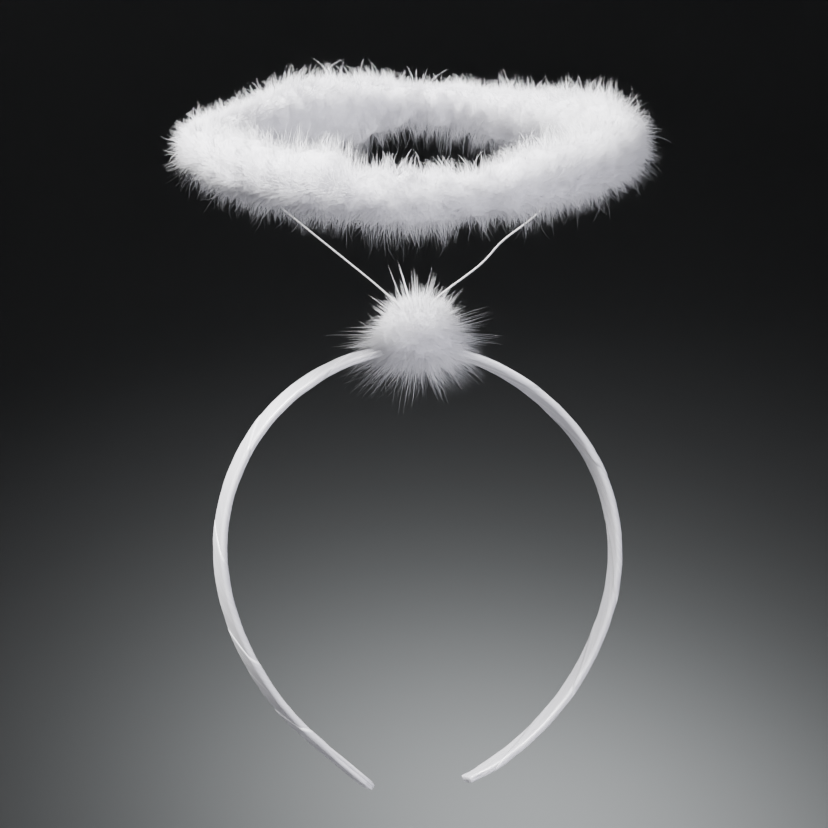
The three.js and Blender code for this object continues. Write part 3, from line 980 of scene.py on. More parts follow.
@dataclass
class HaloWire:
    """The white wire: the hoop inside the boa, the two legs and the turns round the crown."""

    stand: HaloStand
    hoop_radius: float = 0.6
    leg_radius: float = 0.28
    foot_turns: int = 3
    foot_pitch: float = 1.02
    foot_half_depth: float = 6.45
    foot_half_thickness: float = 2.35
    foot_squareness: float = 0.35
    foot_steps: int = 48
    crown_middle: float = CROWN_MIDDLE
    hoop_steps: int = 180
    leg_steps: int = 72
    sides: int = 12
    # The legs' routes in the halo's own upright plane, across and up, from the foot to the ring
    left_route: tuple[tuple[float, float], ...] = (
        (-0.45, 3.6),
        (-0.5, 7.5),
        (-2.2, 12.3),
        (-8.8, 18.8),
        (-35.1, 40.3),
        (-66.5, 66.2),
    )
    right_route: tuple[tuple[float, float], ...] = (
        (0.45, 3.6),
        (0.5, 7.5),
        (1.9, 12.4),
        (7.6, 17.8),
        (21.6, 28.5),
        (28.0, 35.4),
        (37.3, 42.6),
        (63.5, 66.2),
    )

    def make_leg(self, name: str, route: Sequence[tuple[float, float]], wire: bpy.types.Material) -> None:
        """Builds one leg along its route."""
        flat = catmull_rom(route, np.linspace(0, 1, self.leg_steps + 1))
        upright = np.stack([flat[:, 0], np.zeros(len(flat)), flat[:, 1]], axis=-1)
        leg = make_tube(name, self.stand.to_band(upright), self.leg_radius, self.sides)
        dress(leg, wire, Slot.WIRE, Node.WIRE)

    def make_hoop(self, wire: bpy.types.Material) -> None:
        """Builds the hoop that the boa is fixed round."""
        around = np.linspace(0, 2 * math.pi, self.hoop_steps + 1)
        line = self.stand.place(around, np.zeros_like(around), np.zeros_like(around))
        hoop = make_tube("wire_hoop", line, self.hoop_radius, self.sides, closed=True)
        dress(hoop, wire, Slot.WIRE, Node.WIRE)

    def make_foot(self, wire: bpy.types.Material) -> None:
        """Builds the wire's turns round the wound band, as one close helix with rounded corners."""
        turns = np.linspace(0, self.foot_turns, self.foot_turns * self.foot_steps + 1)
        angle = 2 * math.pi * turns + math.pi / 2
        level, upright = np.cos(angle), np.sin(angle)
        depth = np.sign(level) * np.abs(level) ** self.foot_squareness * self.foot_half_depth
        height = np.sign(upright) * np.abs(upright) ** self.foot_squareness * self.foot_half_thickness
        across = (turns - self.foot_turns / 2) * self.foot_pitch
        line = np.stack([across, depth, height + self.crown_middle], axis=-1)
        foot = make_tube("wire_foot_turns", self.stand.to_band(line), self.leg_radius, self.sides)
        dress(foot, wire, Slot.WIRE, Node.WIRE)

    def build(self, wire: bpy.types.Material) -> None:
        """Builds the hoop, the legs and the foot."""
        self.make_hoop(wire)
        self.make_leg("wire_leg_left", self.left_route, wire)
        self.make_leg("wire_leg_right", self.right_route, wire)
        self.make_foot(wire)


# The least and the greatest tone of a barb, as U of its map
TONES = (0.02, 0.98)


@dataclass
class Barbs:
    """Many tapering barbs of down, as arrays with a row for each barb."""

    lines: np.ndarray
    thickness: float
    tip_share: float
    outward: np.ndarray
    softness: float
    tones: np.ndarray

    def build(self, name: str, rng: np.random.Generator) -> bpy.types.Object:
        """Builds the barbs as one mesh of closed three-sided spikes.

        Their shading follows the soft body's own outward direction, because light spreads through down.

        Args:
            name: The piece's name.
            rng: The seeded stream for each barb's turn about itself.

        Returns:
            The new piece.
        """
        count, steps = self.lines.shape[:2]
        sides = 3
        along = unit(np.gradient(self.lines, axis=1))
        level = unit(np.cross(along, rng.normal(size=(count, 1, 3))))
        upward = np.cross(along, level)
        angle = 2 * math.pi * np.arange(sides) / sides
        spokes = (
            level[:, :-1, None] * np.cos(angle)[:, None] + upward[:, :-1, None] * np.sin(angle)[:, None]
        )
        taper = np.linspace(1, self.tip_share, steps - 1)
        ringed = self.lines[:, :-1, None] + spokes * (self.thickness / 2 * taper)[None, :, None, None]
        rings = ringed.reshape(count, -1, 3)
        places = np.concatenate([rings, self.lines[:, -1:]], axis=1)
        each = places.shape[1]

        ring_light = self.outward[:, :-1, None] * self.softness + spokes * (1 - self.softness)
        lights = np.concatenate([ring_light.reshape(count, -1, 3), self.outward[:, -1:]], axis=1)

        faces = [(0, 2, 1)]
        for step in range(steps - 2):
            for side in range(sides):
                a = step * sides + side
                b = step * sides + (side + 1) % sides
                faces.append((a, b, b + sides))
                faces.append((a, b + sides, a + sides))
        last = (steps - 2) * sides
        for side in range(sides):
            faces.append((last + side, last + (side + 1) % sides, each - 1))
        pattern = np.array(faces)
        all_faces = (pattern[None] + each * np.arange(count)[:, None, None]).reshape(-1, 3)

        mesh = bpy.data.meshes.new(name)
        mesh.vertices.add(count * each)
        mesh.vertices.foreach_set("co", (places * MM).astype(np.float32).ravel())
        mesh.loops.add(all_faces.size)
        mesh.loops.foreach_set("vertex_index", all_faces.astype(np.int32).ravel())
        mesh.polygons.add(len(all_faces))
        mesh.polygons.foreach_set("loop_start", np.arange(0, all_faces.size, 3, dtype=np.int32))
        mesh.update(calc_edges=True)
        mesh.shade_smooth()
        self.lay_map(mesh, count, steps, sides, all_faces)
        mesh.normals_split_custom_set_from_vertices(unit(lights).reshape(-1, 3).tolist())
        piece = bpy.data.objects.new(name, mesh)
        bpy.context.scene.collection.objects.link(piece)
        return piece

    def lay_map(self, mesh: bpy.types.Mesh, count: int, steps: int, sides: int, faces: np.ndarray) -> None:
        """Lays the UV map: U is the barb's tone with a little width, and V runs from root to tip."""
        half_width = 0.004
        around = (np.arange(sides) - 1) * half_width
        up = np.linspace(0, 1, steps)
        ring_u = np.broadcast_to(self.tones[:, None, None] + around, (count, steps - 1, sides))
        ring_v = np.broadcast_to(up[:-1, None], (count, steps - 1, sides))
        u = np.concatenate([ring_u.reshape(count, -1), self.tones[:, None]], axis=1)
        v = np.concatenate([ring_v.reshape(count, -1), np.ones((count, 1))], axis=1)
        corner_uv = np.stack([u.ravel(), v.ravel()], axis=-1)[faces.ravel()]
        layer = mesh.uv_layers.new(name="OFBake")
        layer.uv.foreach_set("vector", corner_uv.astype(np.float32).ravel())


def bend(roots: np.ndarray, middles: np.ndarray, tips: np.ndarray, steps: int) -> np.ndarray:
    """Draws one smooth line for each row, from its root to its tip.

    Args:
        roots: Where the lines start, n x 3.
        middles: The point that each line is drawn towards on its way, n x 3.
        tips: Where they end, n x 3.
        steps: Points on each line.

    Returns:
        An n x steps x 3 array.
    """
    t = np.linspace(0, 1, steps)[None, :, None]
    return (1 - t) ** 2 * roots[:, None] + 2 * t * (1 - t) * middles[:, None] + t**2 * tips[:, None]


def for_each(values: np.ndarray, count: int) -> np.ndarray:
    """Repeats each row, once for every barb of its tuft."""
    return np.repeat(values, count, axis=0)


@dataclass(frozen=True)
class Fullness:
    """How far the boa's thick down reaches at an angle round the ring, from its right towards its back."""

    around: float
    outer: float
    upper: float
    inner: float
    lower: float


@dataclass
class HaloBoa:
    """The marabou boa round the hoop: a soft bed of down, short barbs that fill it, and long tufts."""

    stand: HaloStand
    fullness: tuple[Fullness, ...] = (
        Fullness(0, 12.4, 11.6, 13.0, 9.2),
        Fullness(25, 11.6, 11.1, 13.5, 12.0),
        Fullness(45, 9.2, 6.8, 14.0, 15.5),
        Fullness(57, 7.2, 2.6, 14.0, 15.2),
        Fullness(66, 7.2, 2.9, 13.2, 13.8),
        Fullness(75, 7.4, 3.9, 12.5, 13.0),
        Fullness(90, 8.0, 4.7, 11.0, 10.4),
        Fullness(100, 8.6, 6.6, 12.0, 14.4),
        Fullness(106, 8.2, 7.6, 13.8, 17.4),
        Fullness(113, 8.8, 9.2, 14.5, 17.4),
        Fullness(125, 8.6, 8.8, 14.0, 17.0),
        Fullness(150, 6.4, 3.6, 14.0, 15.0),
        Fullness(165, 6.8, 5.2, 13.5, 12.0),
        Fullness(180, 9.0, 8.2, 13.0, 9.6),
        Fullness(195, 7.8, 10.4, 13.6, 6.6),
        Fullness(210, 6.6, 12.2, 14.5, 6.0),
        Fullness(240, 7.4, 14.2, 15.0, 7.4),
        Fullness(249, 8.0, 14.8, 15.2, 7.8),
        Fullness(257, 8.2, 9.4, 10.2, 8.0),
        Fullness(270, 10.4, 10.4, 10.8, 10.6),
        Fullness(285, 8.4, 7.8, 9.6, 8.0),
        Fullness(293, 8.4, 9.2, 11.0, 8.0),
        Fullness(300, 8.6, 11.6, 13.4, 8.4),
        Fullness(306, 8.4, 13.6, 14.2, 7.8),
        Fullness(318, 7.8, 12.4, 13.5, 6.7),
        Fullness(332, 8.2, 12.0, 13.5, 7.4),
        Fullness(346, 9.0, 11.8, 13.2, 6.4),
    )
    bed_depth: float = 2.3
    lump_height: float = 0.55
    # The bed's own finer lumps: how high, and how much finer than the boa's
    bed_lumps: tuple[tuple[float, int], ...] = ((0.4, 2), (0.3, 4))
    bed_columns: int = 280
    bed_rows: int = 30
    parts: int = 5
    barbs: int = 50000
    barb_thickness: float = 0.2
    # How much thinner a barb is at its tip, and how far its shading follows the soft body's
    barb_taper: float = 0.4
    softness: float = 0.88
    tufts: int = 3375
    tuft_rows: int = 15
    barbs_a_tuft: int = 7
    tuft_reach: tuple[float, float] = (0.4, 5.4)
    tuft_hang: float = 2.6
    hairs: int = 9000
    hair_thickness: float = 0.15
    strays: int = 900
    stray_reach: tuple[float, float] = (2.0, 5.6)
    # Pairs of angles are round the ring and over the boa, in radians. Neighbouring barbs lean together by
    # the first pair of a set, and each leans by itself by the second
    short_together: tuple[float, float] = (0.04, 0.2)
    short_alone: tuple[float, float] = (0.022, 0.12)
    tuft_together: tuple[float, float] = (0.05, 0.28)
    tuft_alone: tuple[float, float] = (0.03, 0.16)
    hair_alone: tuple[float, float] = (0.03, 0.18)
    stray_alone: tuple[float, float] = (0.04, 0.2)
    # How wide a tuft is at its root, how much of that is left at its tip, and how loose the tip is
    tuft_width: tuple[float, float] = (0.02, 0.13)
    tuft_tip_share: float = 0.45
    tuft_tip_loose: tuple[float, float] = (0.006, 0.04)
    # How much of its lean a barb has half way
    waist: float = 0.35
    # Where barbs root, as shares of the down's reach
    short_root: tuple[float, float] = (0.45, 0.66)
    tuft_root: tuple[float, float] = (0.42, 0.6)
    hair_root: float = 0.75
    stray_root: float = 0.7
    seed: int = 11

    def reach_at(self, around: np.ndarray, over: np.ndarray) -> np.ndarray:
        """Finds how far the thick down reaches from the hoop.

        Args:
            around: Angles round the ring, in radians.
            over: Angles over the boa, in radians.

        Returns:
            The reach at each.
        """
        rows = [row.around for row in self.fullness]
        degrees = np.mod(np.degrees(around), 360)
        reach = {}
        for side in ("outer", "upper", "inner", "lower"):
            given = [getattr(row, side) for row in self.fullness]
            reach[side] = np.interp(degrees, rows, given, period=360)
        level = np.where(np.cos(over) > 0, reach["outer"], reach["inner"])
        upright = np.where(np.sin(over) > 0, reach["upper"], reach["lower"])
        smooth = level * np.cos(over) ** 2 + upright * np.sin(over) ** 2
        return smooth + self.lump_height * self.lumps(around, over, self.seed + 4, 1)

    def lumps(self, around: np.ndarray, over: np.ndarray, seed: int, fineness: float) -> np.ndarray:
        """Draws smooth random lumps over the boa's skin.

        Args:
            around: Angles round the ring, in radians.
            over: Angles over the boa, in radians.
            seed: The lumps' own seed.
            fineness: How many times finer than the coarsest lumps they are.

        Returns:
            Their height, about -1 to 1.
        """
        random = np.random.default_rng(seed)
        height = np.zeros_like(around)
        waves = 14
        for _ in range(waves):
            round_ring = random.integers(4, 40) * fineness
            round_boa = random.integers(-4, 5) * max(fineness, 1)
            phase = random.uniform(0, 6.3)
            height += np.sin(np.rint(round_ring) * around + np.rint(round_boa) * over + phase)
        return height / math.sqrt(waves)

    def make_bed(self, down: bpy.types.Material) -> None:
        """Builds the bed: a soft lumpy ring just under the barbs' tips."""
        deselect_all()
        bpy.ops.mesh.primitive_torus_add(
            major_segments=self.bed_columns,
            minor_segments=self.bed_rows,
            major_radius=self.stand.ring_radius,
            minor_radius=self.fullness[0].outer,
        )
        bed = bpy.context.object
        bed.name = "halo_underdown"
        flat = corners_of(bed.data)
        around = np.arctan2(flat[:, 1], flat[:, 0])
        over = np.arctan2(flat[:, 2], np.hypot(flat[:, 0], flat[:, 1]) - self.stand.ring_radius)
        reach = self.reach_at(around, over) - self.bed_depth
        for index, (height, fineness) in enumerate(self.bed_lumps):
            reach += height * self.lumps(around, over, self.seed + index, fineness)
        move_corners(bed.data, self.stand.place(around, over, reach) * MM)
        dress(bed, down, Slot.DOWN, Node.BOA)

    def drift(self, around: np.ndarray, over: np.ndarray) -> tuple[np.ndarray, np.ndarray]:
        """How neighbouring barbs lean together, round the ring and over the boa, about -1 to 1."""
        return self.lumps(around, over, self.seed + 2, 1), self.lumps(around, over, self.seed + 3, 1)

    def lines(self, ends: Sequence[Spots], steps: int) -> np.ndarray:
        """Draws barbs from the spots of their roots, middles and tips."""
        return bend(*[self.stand.place(*end) for end in ends], steps)

    def outward_along(self, ends: Sequence[Spots], steps: int) -> np.ndarray:
        """Finds the soft body's outward direction along barbs.

        Args:
            ends: The spots of their roots, middles and tips.
            steps: Points on each barb.

        Returns:
            A direction for each point of each barb.
        """
        shares = np.linspace(0, 1, steps)
        (a0, o0, _), _, (a1, o1, _) = ends
        around = a0[:, None] + (a1 - a0)[:, None] * shares
        over = o0[:, None] + (o1 - o0)[:, None] * shares
        ones = np.ones_like(around)
        return unit(self.stand.place(around, over, ones) - self.stand.place(around, over, 0 * ones))

    def short_barbs(self, rng: np.random.Generator, low: float, high: float, count: int) -> tuple[Spots, ...]:
        """Places the barbs that fill the boa.

        Args:
            rng: The seeded stream.
            low: The least angle round the ring, in radians.
            high: The greatest.
            count: How many barbs.

        Returns:
            The spots of their roots, middles and tips.
        """
        around = rng.uniform(low, high, count)
        over = rng.uniform(0, 2 * math.pi, count)
        reach = self.reach_at(around, over)
        drift_round, drift_over = self.drift(around, over)
        lean = self.short_together[0] * drift_round + rng.normal(0, self.short_alone[0], count)
        roll = self.short_together[1] * drift_over + rng.normal(0, self.short_alone[1], count)
        root = (around, over, reach * rng.uniform(*self.short_root, count))
        tip_reach = reach * (0.84 + 0.32 * rng.beta(1.3, 2.2, count))
        middle = (around + lean * self.waist, over + roll * self.waist, tip_reach * 0.85)
        tip = (around + lean, over + roll, tip_reach)
        return root, middle, tip

    def tuft_barbs(self, rng: np.random.Generator, low: float, high: float, count: int) -> tuple[Spots, ...]:
        """Places the barbs of the tufts, which draw together towards each tuft's tip.

        Args:
            rng: The seeded stream.
            low: The least angle round the ring, in radians.
            high: The greatest.
            count: How many tufts.

        Returns:
            The spots of the barbs' roots, middles and tips.
        """
        rows = self.tuft_rows
        columns = math.ceil(count / rows)
        count = rows * columns
        row, column = np.meshgrid(np.arange(rows), np.arange(columns), indexing="ij")
        over = 2 * math.pi * (row.ravel() + rng.uniform(0, 1, count)) / rows
        around = low + (high - low) * (column.ravel() + rng.uniform(0, 1, count)) / columns
        reach = self.reach_at(around, over)
        least, most = self.tuft_reach
        stand_out = least + (most - least) * rng.uniform(0, 1, count) ** 1.9
        stand_out += self.tuft_hang * np.clip(-np.sin(over), 0, 1)
        stand_out *= np.clip(0.5 + 0.055 * reach, 0.7, 1.3)
        drift_round, drift_over = self.drift(around, over)
        lean = self.tuft_together[0] * drift_round + rng.normal(0, self.tuft_alone[0], count)
        roll = self.tuft_together[1] * drift_over + rng.normal(0, self.tuft_alone[1], count)
        tip_around, tip_over = around + lean, over + roll
        tip_reach = reach + stand_out

        each = self.barbs_a_tuft
        total = count * each
        around, over, reach = for_each(around, each), for_each(over, each), for_each(reach, each)
        tip_around, tip_over = for_each(tip_around, each), for_each(tip_over, each)
        wide_round = rng.normal(0, self.tuft_width[0], total)
        wide_over = rng.normal(0, self.tuft_width[1], total)
        own_reach = np.minimum(reach, self.reach_at(around + wide_round, over + wide_over))
        root = (around + wide_round, over + wide_over, own_reach * rng.uniform(*self.tuft_root, total))
        middle = (
            around + wide_round * 0.9 + (tip_around - around) * self.waist,
            over + wide_over * 0.9 + (tip_over - over) * self.waist,
            own_reach * rng.uniform(0.8, 0.95, total),
        )
        tip = (
            tip_around + wide_round * self.tuft_tip_share + rng.normal(0, self.tuft_tip_loose[0], total),
            tip_over + wide_over * self.tuft_tip_share + rng.normal(0, self.tuft_tip_loose[1], total),
            for_each(tip_reach, each) - rng.exponential(1.1, total),
        )
        return root, middle, tip

    def fine_hairs(self, rng: np.random.Generator, low: float, high: float, count: int) -> tuple[Spots, ...]:
        """Places thin single hairs that thin out past the thick down.

        Args:
            rng: The seeded stream.
            low: The least angle round the ring, in radians.
            high: The greatest.
            count: How many hairs.

        Returns:
            The spots of their roots, middles and tips.
        """
        around = rng.uniform(low, high, count)
        over = rng.uniform(0, 2 * math.pi, count)
        reach = self.reach_at(around, over)
        hang = 1 + 0.8 * np.clip(-np.sin(over), 0, 1)
        tip_reach = reach + 0.5 + rng.exponential(1.3, count).clip(0, 5) * hang
        sweep = rng.normal(0, 1, (2, count))
        root = (around, over, reach * self.hair_root)
        middle = (around + 0.008 * sweep[0], over + 0.05 * sweep[1], tip_reach * 0.9)
        tip = (around + self.hair_alone[0] * sweep[0], over + self.hair_alone[1] * sweep[1], tip_reach)
        return root, middle, tip

    def stray_barbs(self, rng: np.random.Generator, low: float, high: float, count: int) -> tuple[Spots, ...]:
        """Places single long barbs that stand out and curl.

        Args:
            rng: The seeded stream.
            low: The least angle round the ring, in radians.
            high: The greatest.
            count: How many barbs.

        Returns:
            The spots of their roots, middles and tips.
        """
        around = rng.uniform(low, high, count)
        over = rng.uniform(0, 2 * math.pi, count)
        reach = self.reach_at(around, over)
        curl = rng.normal(0, 1, (2, count))
        stand_out = rng.uniform(*self.stray_reach, count)
        root = (around, over, reach * self.stray_root)
        middle = (around + 0.01 * curl[0], over + 0.05 * curl[1], reach + stand_out * 0.6)
        tip_reach = reach + stand_out * rng.uniform(0.75, 1.15, count)
        tip = (around + self.stray_alone[0] * curl[0], over + self.stray_alone[1] * curl[1], tip_reach)
        return root, middle, tip

    def make_barbs(
        self, name: str, rng: np.random.Generator, ends: Sequence[Spots], steps: int, thickness: float
    ) -> bpy.types.Object:
        """Builds one set of barbs as a mesh.

        Args:
            name: The piece's name.
            rng: The seeded stream.
            ends: The spots of their roots, middles and tips.
            steps: Points on each barb.
            thickness: How thick they are at their roots.

        Returns:
            The new piece.
        """
        lines = self.lines(ends, steps)
        tones = rng.uniform(*TONES, len(lines))
        outward = self.outward_along(ends, steps)
        barbs = Barbs(lines, thickness, self.barb_taper, outward, self.softness, tones)
        return barbs.build(name, rng)

    def make_part(self, index: int, down: bpy.types.Material) -> None:
        """Builds the barbs of one part of the ring as one piece."""
        rng = np.random.default_rng(self.seed * 100 + index)
        low = 2 * math.pi * index / self.parts
        high = 2 * math.pi * (index + 1) / self.parts
        short = self.short_barbs(rng, low, high, self.barbs // self.parts)
        tufts = self.tuft_barbs(rng, low, high, self.tufts // self.parts)
        hairs = self.fine_hairs(rng, low, high, self.hairs // self.parts)
        strays = self.stray_barbs(rng, low, high, self.strays // self.parts)
        name = f"halo_down_{index + 1}"
        pieces = [
            self.make_barbs(name, rng, short, 2, self.barb_thickness),
            self.make_barbs(name + "_tufts", rng, tufts, 4, self.barb_thickness),
            self.make_barbs(name + "_hairs", rng, hairs, 3, self.hair_thickness),
            self.make_barbs(name + "_strays", rng, strays, 6, self.hair_thickness),
        ]
        dress(join(pieces), down, Slot.DOWN, Node.BOA)

    def build(self, bed: bpy.types.Material, down: bpy.types.Material) -> None:
        """Builds the bed and all the barbs."""
        self.make_bed(bed)
        for index in range(self.parts):
            self.make_part(index, down)


def join(pieces: Sequence[bpy.types.Object]) -> bpy.types.Object:
    """Joins pieces into the first one."""
    take(pieces[0])
    for piece in pieces:
        piece.select_set(True)
    bpy.ops.object.join()
    return pieces[0]


def sway_each(rng: np.random.Generator, amount: float, count: int) -> np.ndarray:
    """Draws a small random offset for each of many directions."""
    return rng.normal(0, amount, (count, 3))


def share_each(rng: np.random.Generator, low: float, high: float, count: int) -> np.ndarray:
    """Draws an even random share for each of many directions, as a column."""
    return rng.uniform(low, high, count)[:, None]


@dataclass
class CrownPuff:
    """The marabou puff on the crown: a soft ball with pointed tufts, longer at its sides and below."""

    centre: tuple[float, float, float] = (0.6, -2.2, 6.2)
    ball: tuple[float, float, float] = (11.2, 10.8, 8.6)
    full: tuple[float, float, float] = (13.2, 13.4, 11.2)
    # How much squarer than a ball it is, how much wider at its foot than at its top, and how far it leans
    squareness: float = 3.2
    flare: float = 0.27
    lean: float = 0.08
    turn: float = HALO_TURN
    # How high the bed's lumps are, as a share of its size
    swell: float = 0.02
    barbs: int = 9000
    tufts: int = 840
    barbs_a_tuft: int = 7
    hairs: int = 1600
    barb_thickness: float = 0.17
    barb_taper: float = 0.4
    softness: float = 0.85
    # How far the tufts reach, as shares of the full ball. The shoulder is this far up, as a share
    shoulder: float = 0.4
    top_reach: float = 1.36
    upper_side_reach: float = 1.24
    side_reach: float = 1.5
    low_reach: float = 1.8
    # The longest locks' tips, across and up from the puff's middle
    locks: tuple[tuple[float, float], ...] = (
        (-28.0, -0.5),
        (-26.5, -4.2),
        (-19.5, 11.5),
        (-10.0, 21.5),
        (-1.5, 19.5),
        (6.8, 20.5),
        (16.8, 16.5),
        (26.0, 6.8),
        (22.4, 2.6),
        (26.5, -3.4),
        (18.0, -14.5),
        (6.8, -23.0),
        (-3.9, -26.5),
        (-14.6, -20.4),
        (-19.5, -12.5),
    )
    barbs_a_lock: int = 14
    # How far barbs sway from their own direction, and how wide a tuft and a lock are, as shares of the ball
    short_sway: float = 0.2
    tuft_sway: float = 0.2
    hair_sway: float = 0.12
    tuft_width: float = 0.055
    lock_width: float = 0.1
    # Where barbs root, as shares of the full ball
    short_root: tuple[float, float] = (0.4, 0.65)
    tuft_root: tuple[float, float] = (0.35, 0.55)
    lock_root: tuple[float, float] = (0.4, 0.6)
    hair_root: float = 0.7
    seed: int = 31

    def directions(self, rng: np.random.Generator, count: int) -> np.ndarray:
        """Spreads directions over the ball, a little jittered.

        Args:
            rng: The seeded stream.
            count: How many directions.

        Returns:
            An n x 3 array of unit directions.
        """
        index = np.arange(count) + 0.5
        height = 1 - 2 * index / count
        level = np.sqrt(1 - height**2)
        around = index * math.pi * (3 - math.sqrt(5))
        spread = np.stack([level * np.cos(around), level * np.sin(around), height], axis=-1)
        return unit(spread + rng.normal(0, 0.4 / math.sqrt(count), (count, 3)) * 2)

    def to_band(self, places: np.ndarray) -> np.ndarray:
        """Turns places or directions in the puff's own frame, about its middle, into the band's frame."""
        return turned(places, self.turn)

    def corner(self, towards: np.ndarray) -> np.ndarray:
        """How much further the ball reaches in each direction for being squarer than a ball."""
        powers = np.abs(towards) ** self.squareness
        return np.sum(powers, axis=-1, keepdims=True) ** (-1 / self.squareness)

    def shaped(self, spokes: np.ndarray, size: Sequence[float]) -> np.ndarray:
        """Turns directions into places in the puff's own frame.

        Args:
            spokes: Directions, scaled by their reach.
            size: The ball's half width, depth and height.

        Returns:
            The places.
        """
        towards = unit(spokes)
        places = spokes * np.array(size) * self.corner(towards)
        places[..., 0] *= 1 - self.flare * towards[..., 2]
        places[..., 0] += self.lean * places[..., 2]
        return places

    def lock_barbs(self, rng: np.random.Generator) -> list[np.ndarray]:
        """Places the barbs of the longest locks.

        Args:
            rng: The seeded stream.

        Returns:
            Their roots, middles and tips, as directions scaled by their reach.
        """
        across, up = for_each(np.array(self.locks), self.barbs_a_lock).T
        tips = np.stack([across - self.lean * up, np.zeros_like(up), up], axis=-1) / np.array(self.full)
        towards = unit(tips)
        tips = tips / self.corner(towards)
        wide = rng.normal(0, self.lock_width, tips.shape)
        fall = rng.beta(1.0, 1.6, (len(tips), 1))
        return [
            unit(towards + wide) * rng.uniform(*self.lock_root, (len(tips), 1)),
            unit(towards + wide * 0.8) * np.linalg.norm(tips, axis=-1, keepdims=True) * 0.6,
            tips * (1 - 0.5 * fall) + wide * 0.9,
        ]

    def reach_at(self, towards: np.ndarray) -> np.ndarray:
        """Finds how far tufts reach.

        Args:
            towards: Their directions.

        Returns:
            Their reach, as a share of the full ball.
        """
        up = towards[:, 2]
        to_shoulder = smoothstep(up / self.shoulder)
        to_top = smoothstep((up - self.shoulder) / (1 - self.shoulder))
        above = self.side_reach + (self.upper_side_reach - self.side_reach) * to_shoulder
        above += (self.top_reach - self.upper_side_reach) * to_top
        below = self.side_reach + (self.low_reach - self.side_reach) * smoothstep(-up)
        return np.where(up > 0, above, below)

    def make_bed(self, down: bpy.types.Material) -> None:
        """Builds the soft ball under the barbs."""
        deselect_all()
        bpy.ops.mesh.primitive_ico_sphere_add(subdivisions=6, radius=1.0)
        bed = bpy.context.object
        bed.name = "puff_underdown"
        ball = corners_of(bed.data)
        random = np.random.default_rng(self.seed)
        height = np.zeros(len(ball))
        waves = 16
        for _ in range(waves):
            height += np.sin(ball @ random.normal(0, 7, 3) + random.uniform(0, 6.3))
        swell = 1 + self.swell * height / math.sqrt(waves)
        lumpy = self.to_band(self.shaped(ball, self.ball) * swell[:, None])
        move_corners(bed.data, (lumpy + np.array(self.centre)) * MM)
        dress(bed, down, Slot.DOWN, Node.PUFF)

    def make_barbs(
        self, name: str, rng: np.random.Generator, ends: Sequence[np.ndarray], steps: int
    ) -> bpy.types.Object:
        """Builds one set of barbs as a mesh.

        Args:
            name: The piece's name.
            rng: The seeded stream.
            ends: Roots, middles and tips, as directions scaled by their reach.
            steps: Points on each barb.

        Returns:
            The new piece.
        """
        lines = bend(*[self.shaped(end, self.full) for end in ends], steps)
        outward = self.to_band(unit(lines / np.array(self.full) ** 2))
        tones = rng.uniform(*TONES, len(lines))
        placed = self.to_band(lines) + np.array(self.centre)
        barbs = Barbs(placed, self.barb_thickness, self.barb_taper, outward, self.softness, tones)
        return barbs.build(name, rng)

    def short_barbs(self, rng: np.random.Generator) -> list[np.ndarray]:
        """Places the barbs that fill the puff.

        Args:
            rng: The seeded stream.

        Returns:
            Their roots, middles and tips, as directions scaled by their reach.
        """
        count = self.barbs
        towards = self.directions(rng, count)
        tip_reach = share_each(rng, 0.85, 1.12, count)
        return [
            towards * share_each(rng, *self.short_root, count),
            unit(towards + sway_each(rng, 0.08, count)) * tip_reach * 0.85,
            unit(towards + sway_each(rng, self.short_sway, count)) * tip_reach,
        ]

    def tuft_barbs(self, rng: np.random.Generator) -> list[np.ndarray]:
        """Places the barbs of the tufts, which part a little towards each tuft's tip.

        Args:
            rng: The seeded stream.

        Returns:
            Their roots, middles and tips, as directions scaled by their reach.
        """
        middles = self.directions(rng, self.tufts)
        leaning = unit(middles + sway_each(rng, self.tuft_sway, self.tufts))
        reach = self.reach_at(leaning) * (0.6 + 0.6 * rng.beta(1.3, 3.0, self.tufts))
        each = self.barbs_a_tuft
        total = self.tufts * each
        middles, leaning, reach = for_each(middles, each), for_each(leaning, each), for_each(reach, each)
        wide = sway_each(rng, self.tuft_width, total)
        return [
            unit(middles + wide) * share_each(rng, *self.tuft_root, total),
            unit(middles * 0.6 + leaning * 0.4 + wide * 0.8) * share_each(rng, 0.82, 0.98, total),
            unit(leaning + wide * 0.9) * (reach[:, None] - rng.exponential(0.13, (total, 1))),
        ]

    def fine_hairs(self, rng: np.random.Generator) -> list[np.ndarray]:
        """Places thin single hairs between the tufts.

        Args:
            rng: The seeded stream.

        Returns:
            Their roots, middles and tips, as directions scaled by their reach.
        """
        towards = self.directions(rng, self.hairs)
        reach = self.reach_at(towards)[:, None] * share_each(rng, 0.66, 1.12, self.hairs)
        curl = sway_each(rng, self.hair_sway, self.hairs)
        return [
            towards * self.hair_root,
            unit(towards + curl * 0.3) * reach * 0.8,
            unit(towards + curl) * reach,
        ]

    def build(self, bed: bpy.types.Material, down: bpy.types.Material) -> None:
        """Builds the ball and all its barbs.

        Args:
            bed: The bed's finish.
            down: The barbs' finish.
        """
        self.make_bed(bed)
        rng = np.random.default_rng(self.seed + 1)
        short = self.short_barbs(rng)
        tufts = self.tuft_barbs(rng)
        hairs = self.fine_hairs(rng)
        pieces = [
            self.make_barbs("puff_down", rng, short, 2),
            self.make_barbs("puff_down_tufts", rng, tufts, 4),
            self.make_barbs("puff_down_hairs", rng, hairs, 3),
            self.make_barbs("puff_down_locks", rng, self.lock_barbs(rng), 5),
        ]
        dress(join(pieces), down, Slot.DOWN, Node.PUFF)


@dataclass(frozen=True)
class Softbox:
    """A soft square light with a grid. Its place, side and aim are in metres."""

    name: str
    place: tuple[float, float, float]
    side: float
    watts: float
    spread: float
    colour: str = "FFFFFF"
    aim: tuple[float, float, float] = (0.0, 0.0, -0.02)


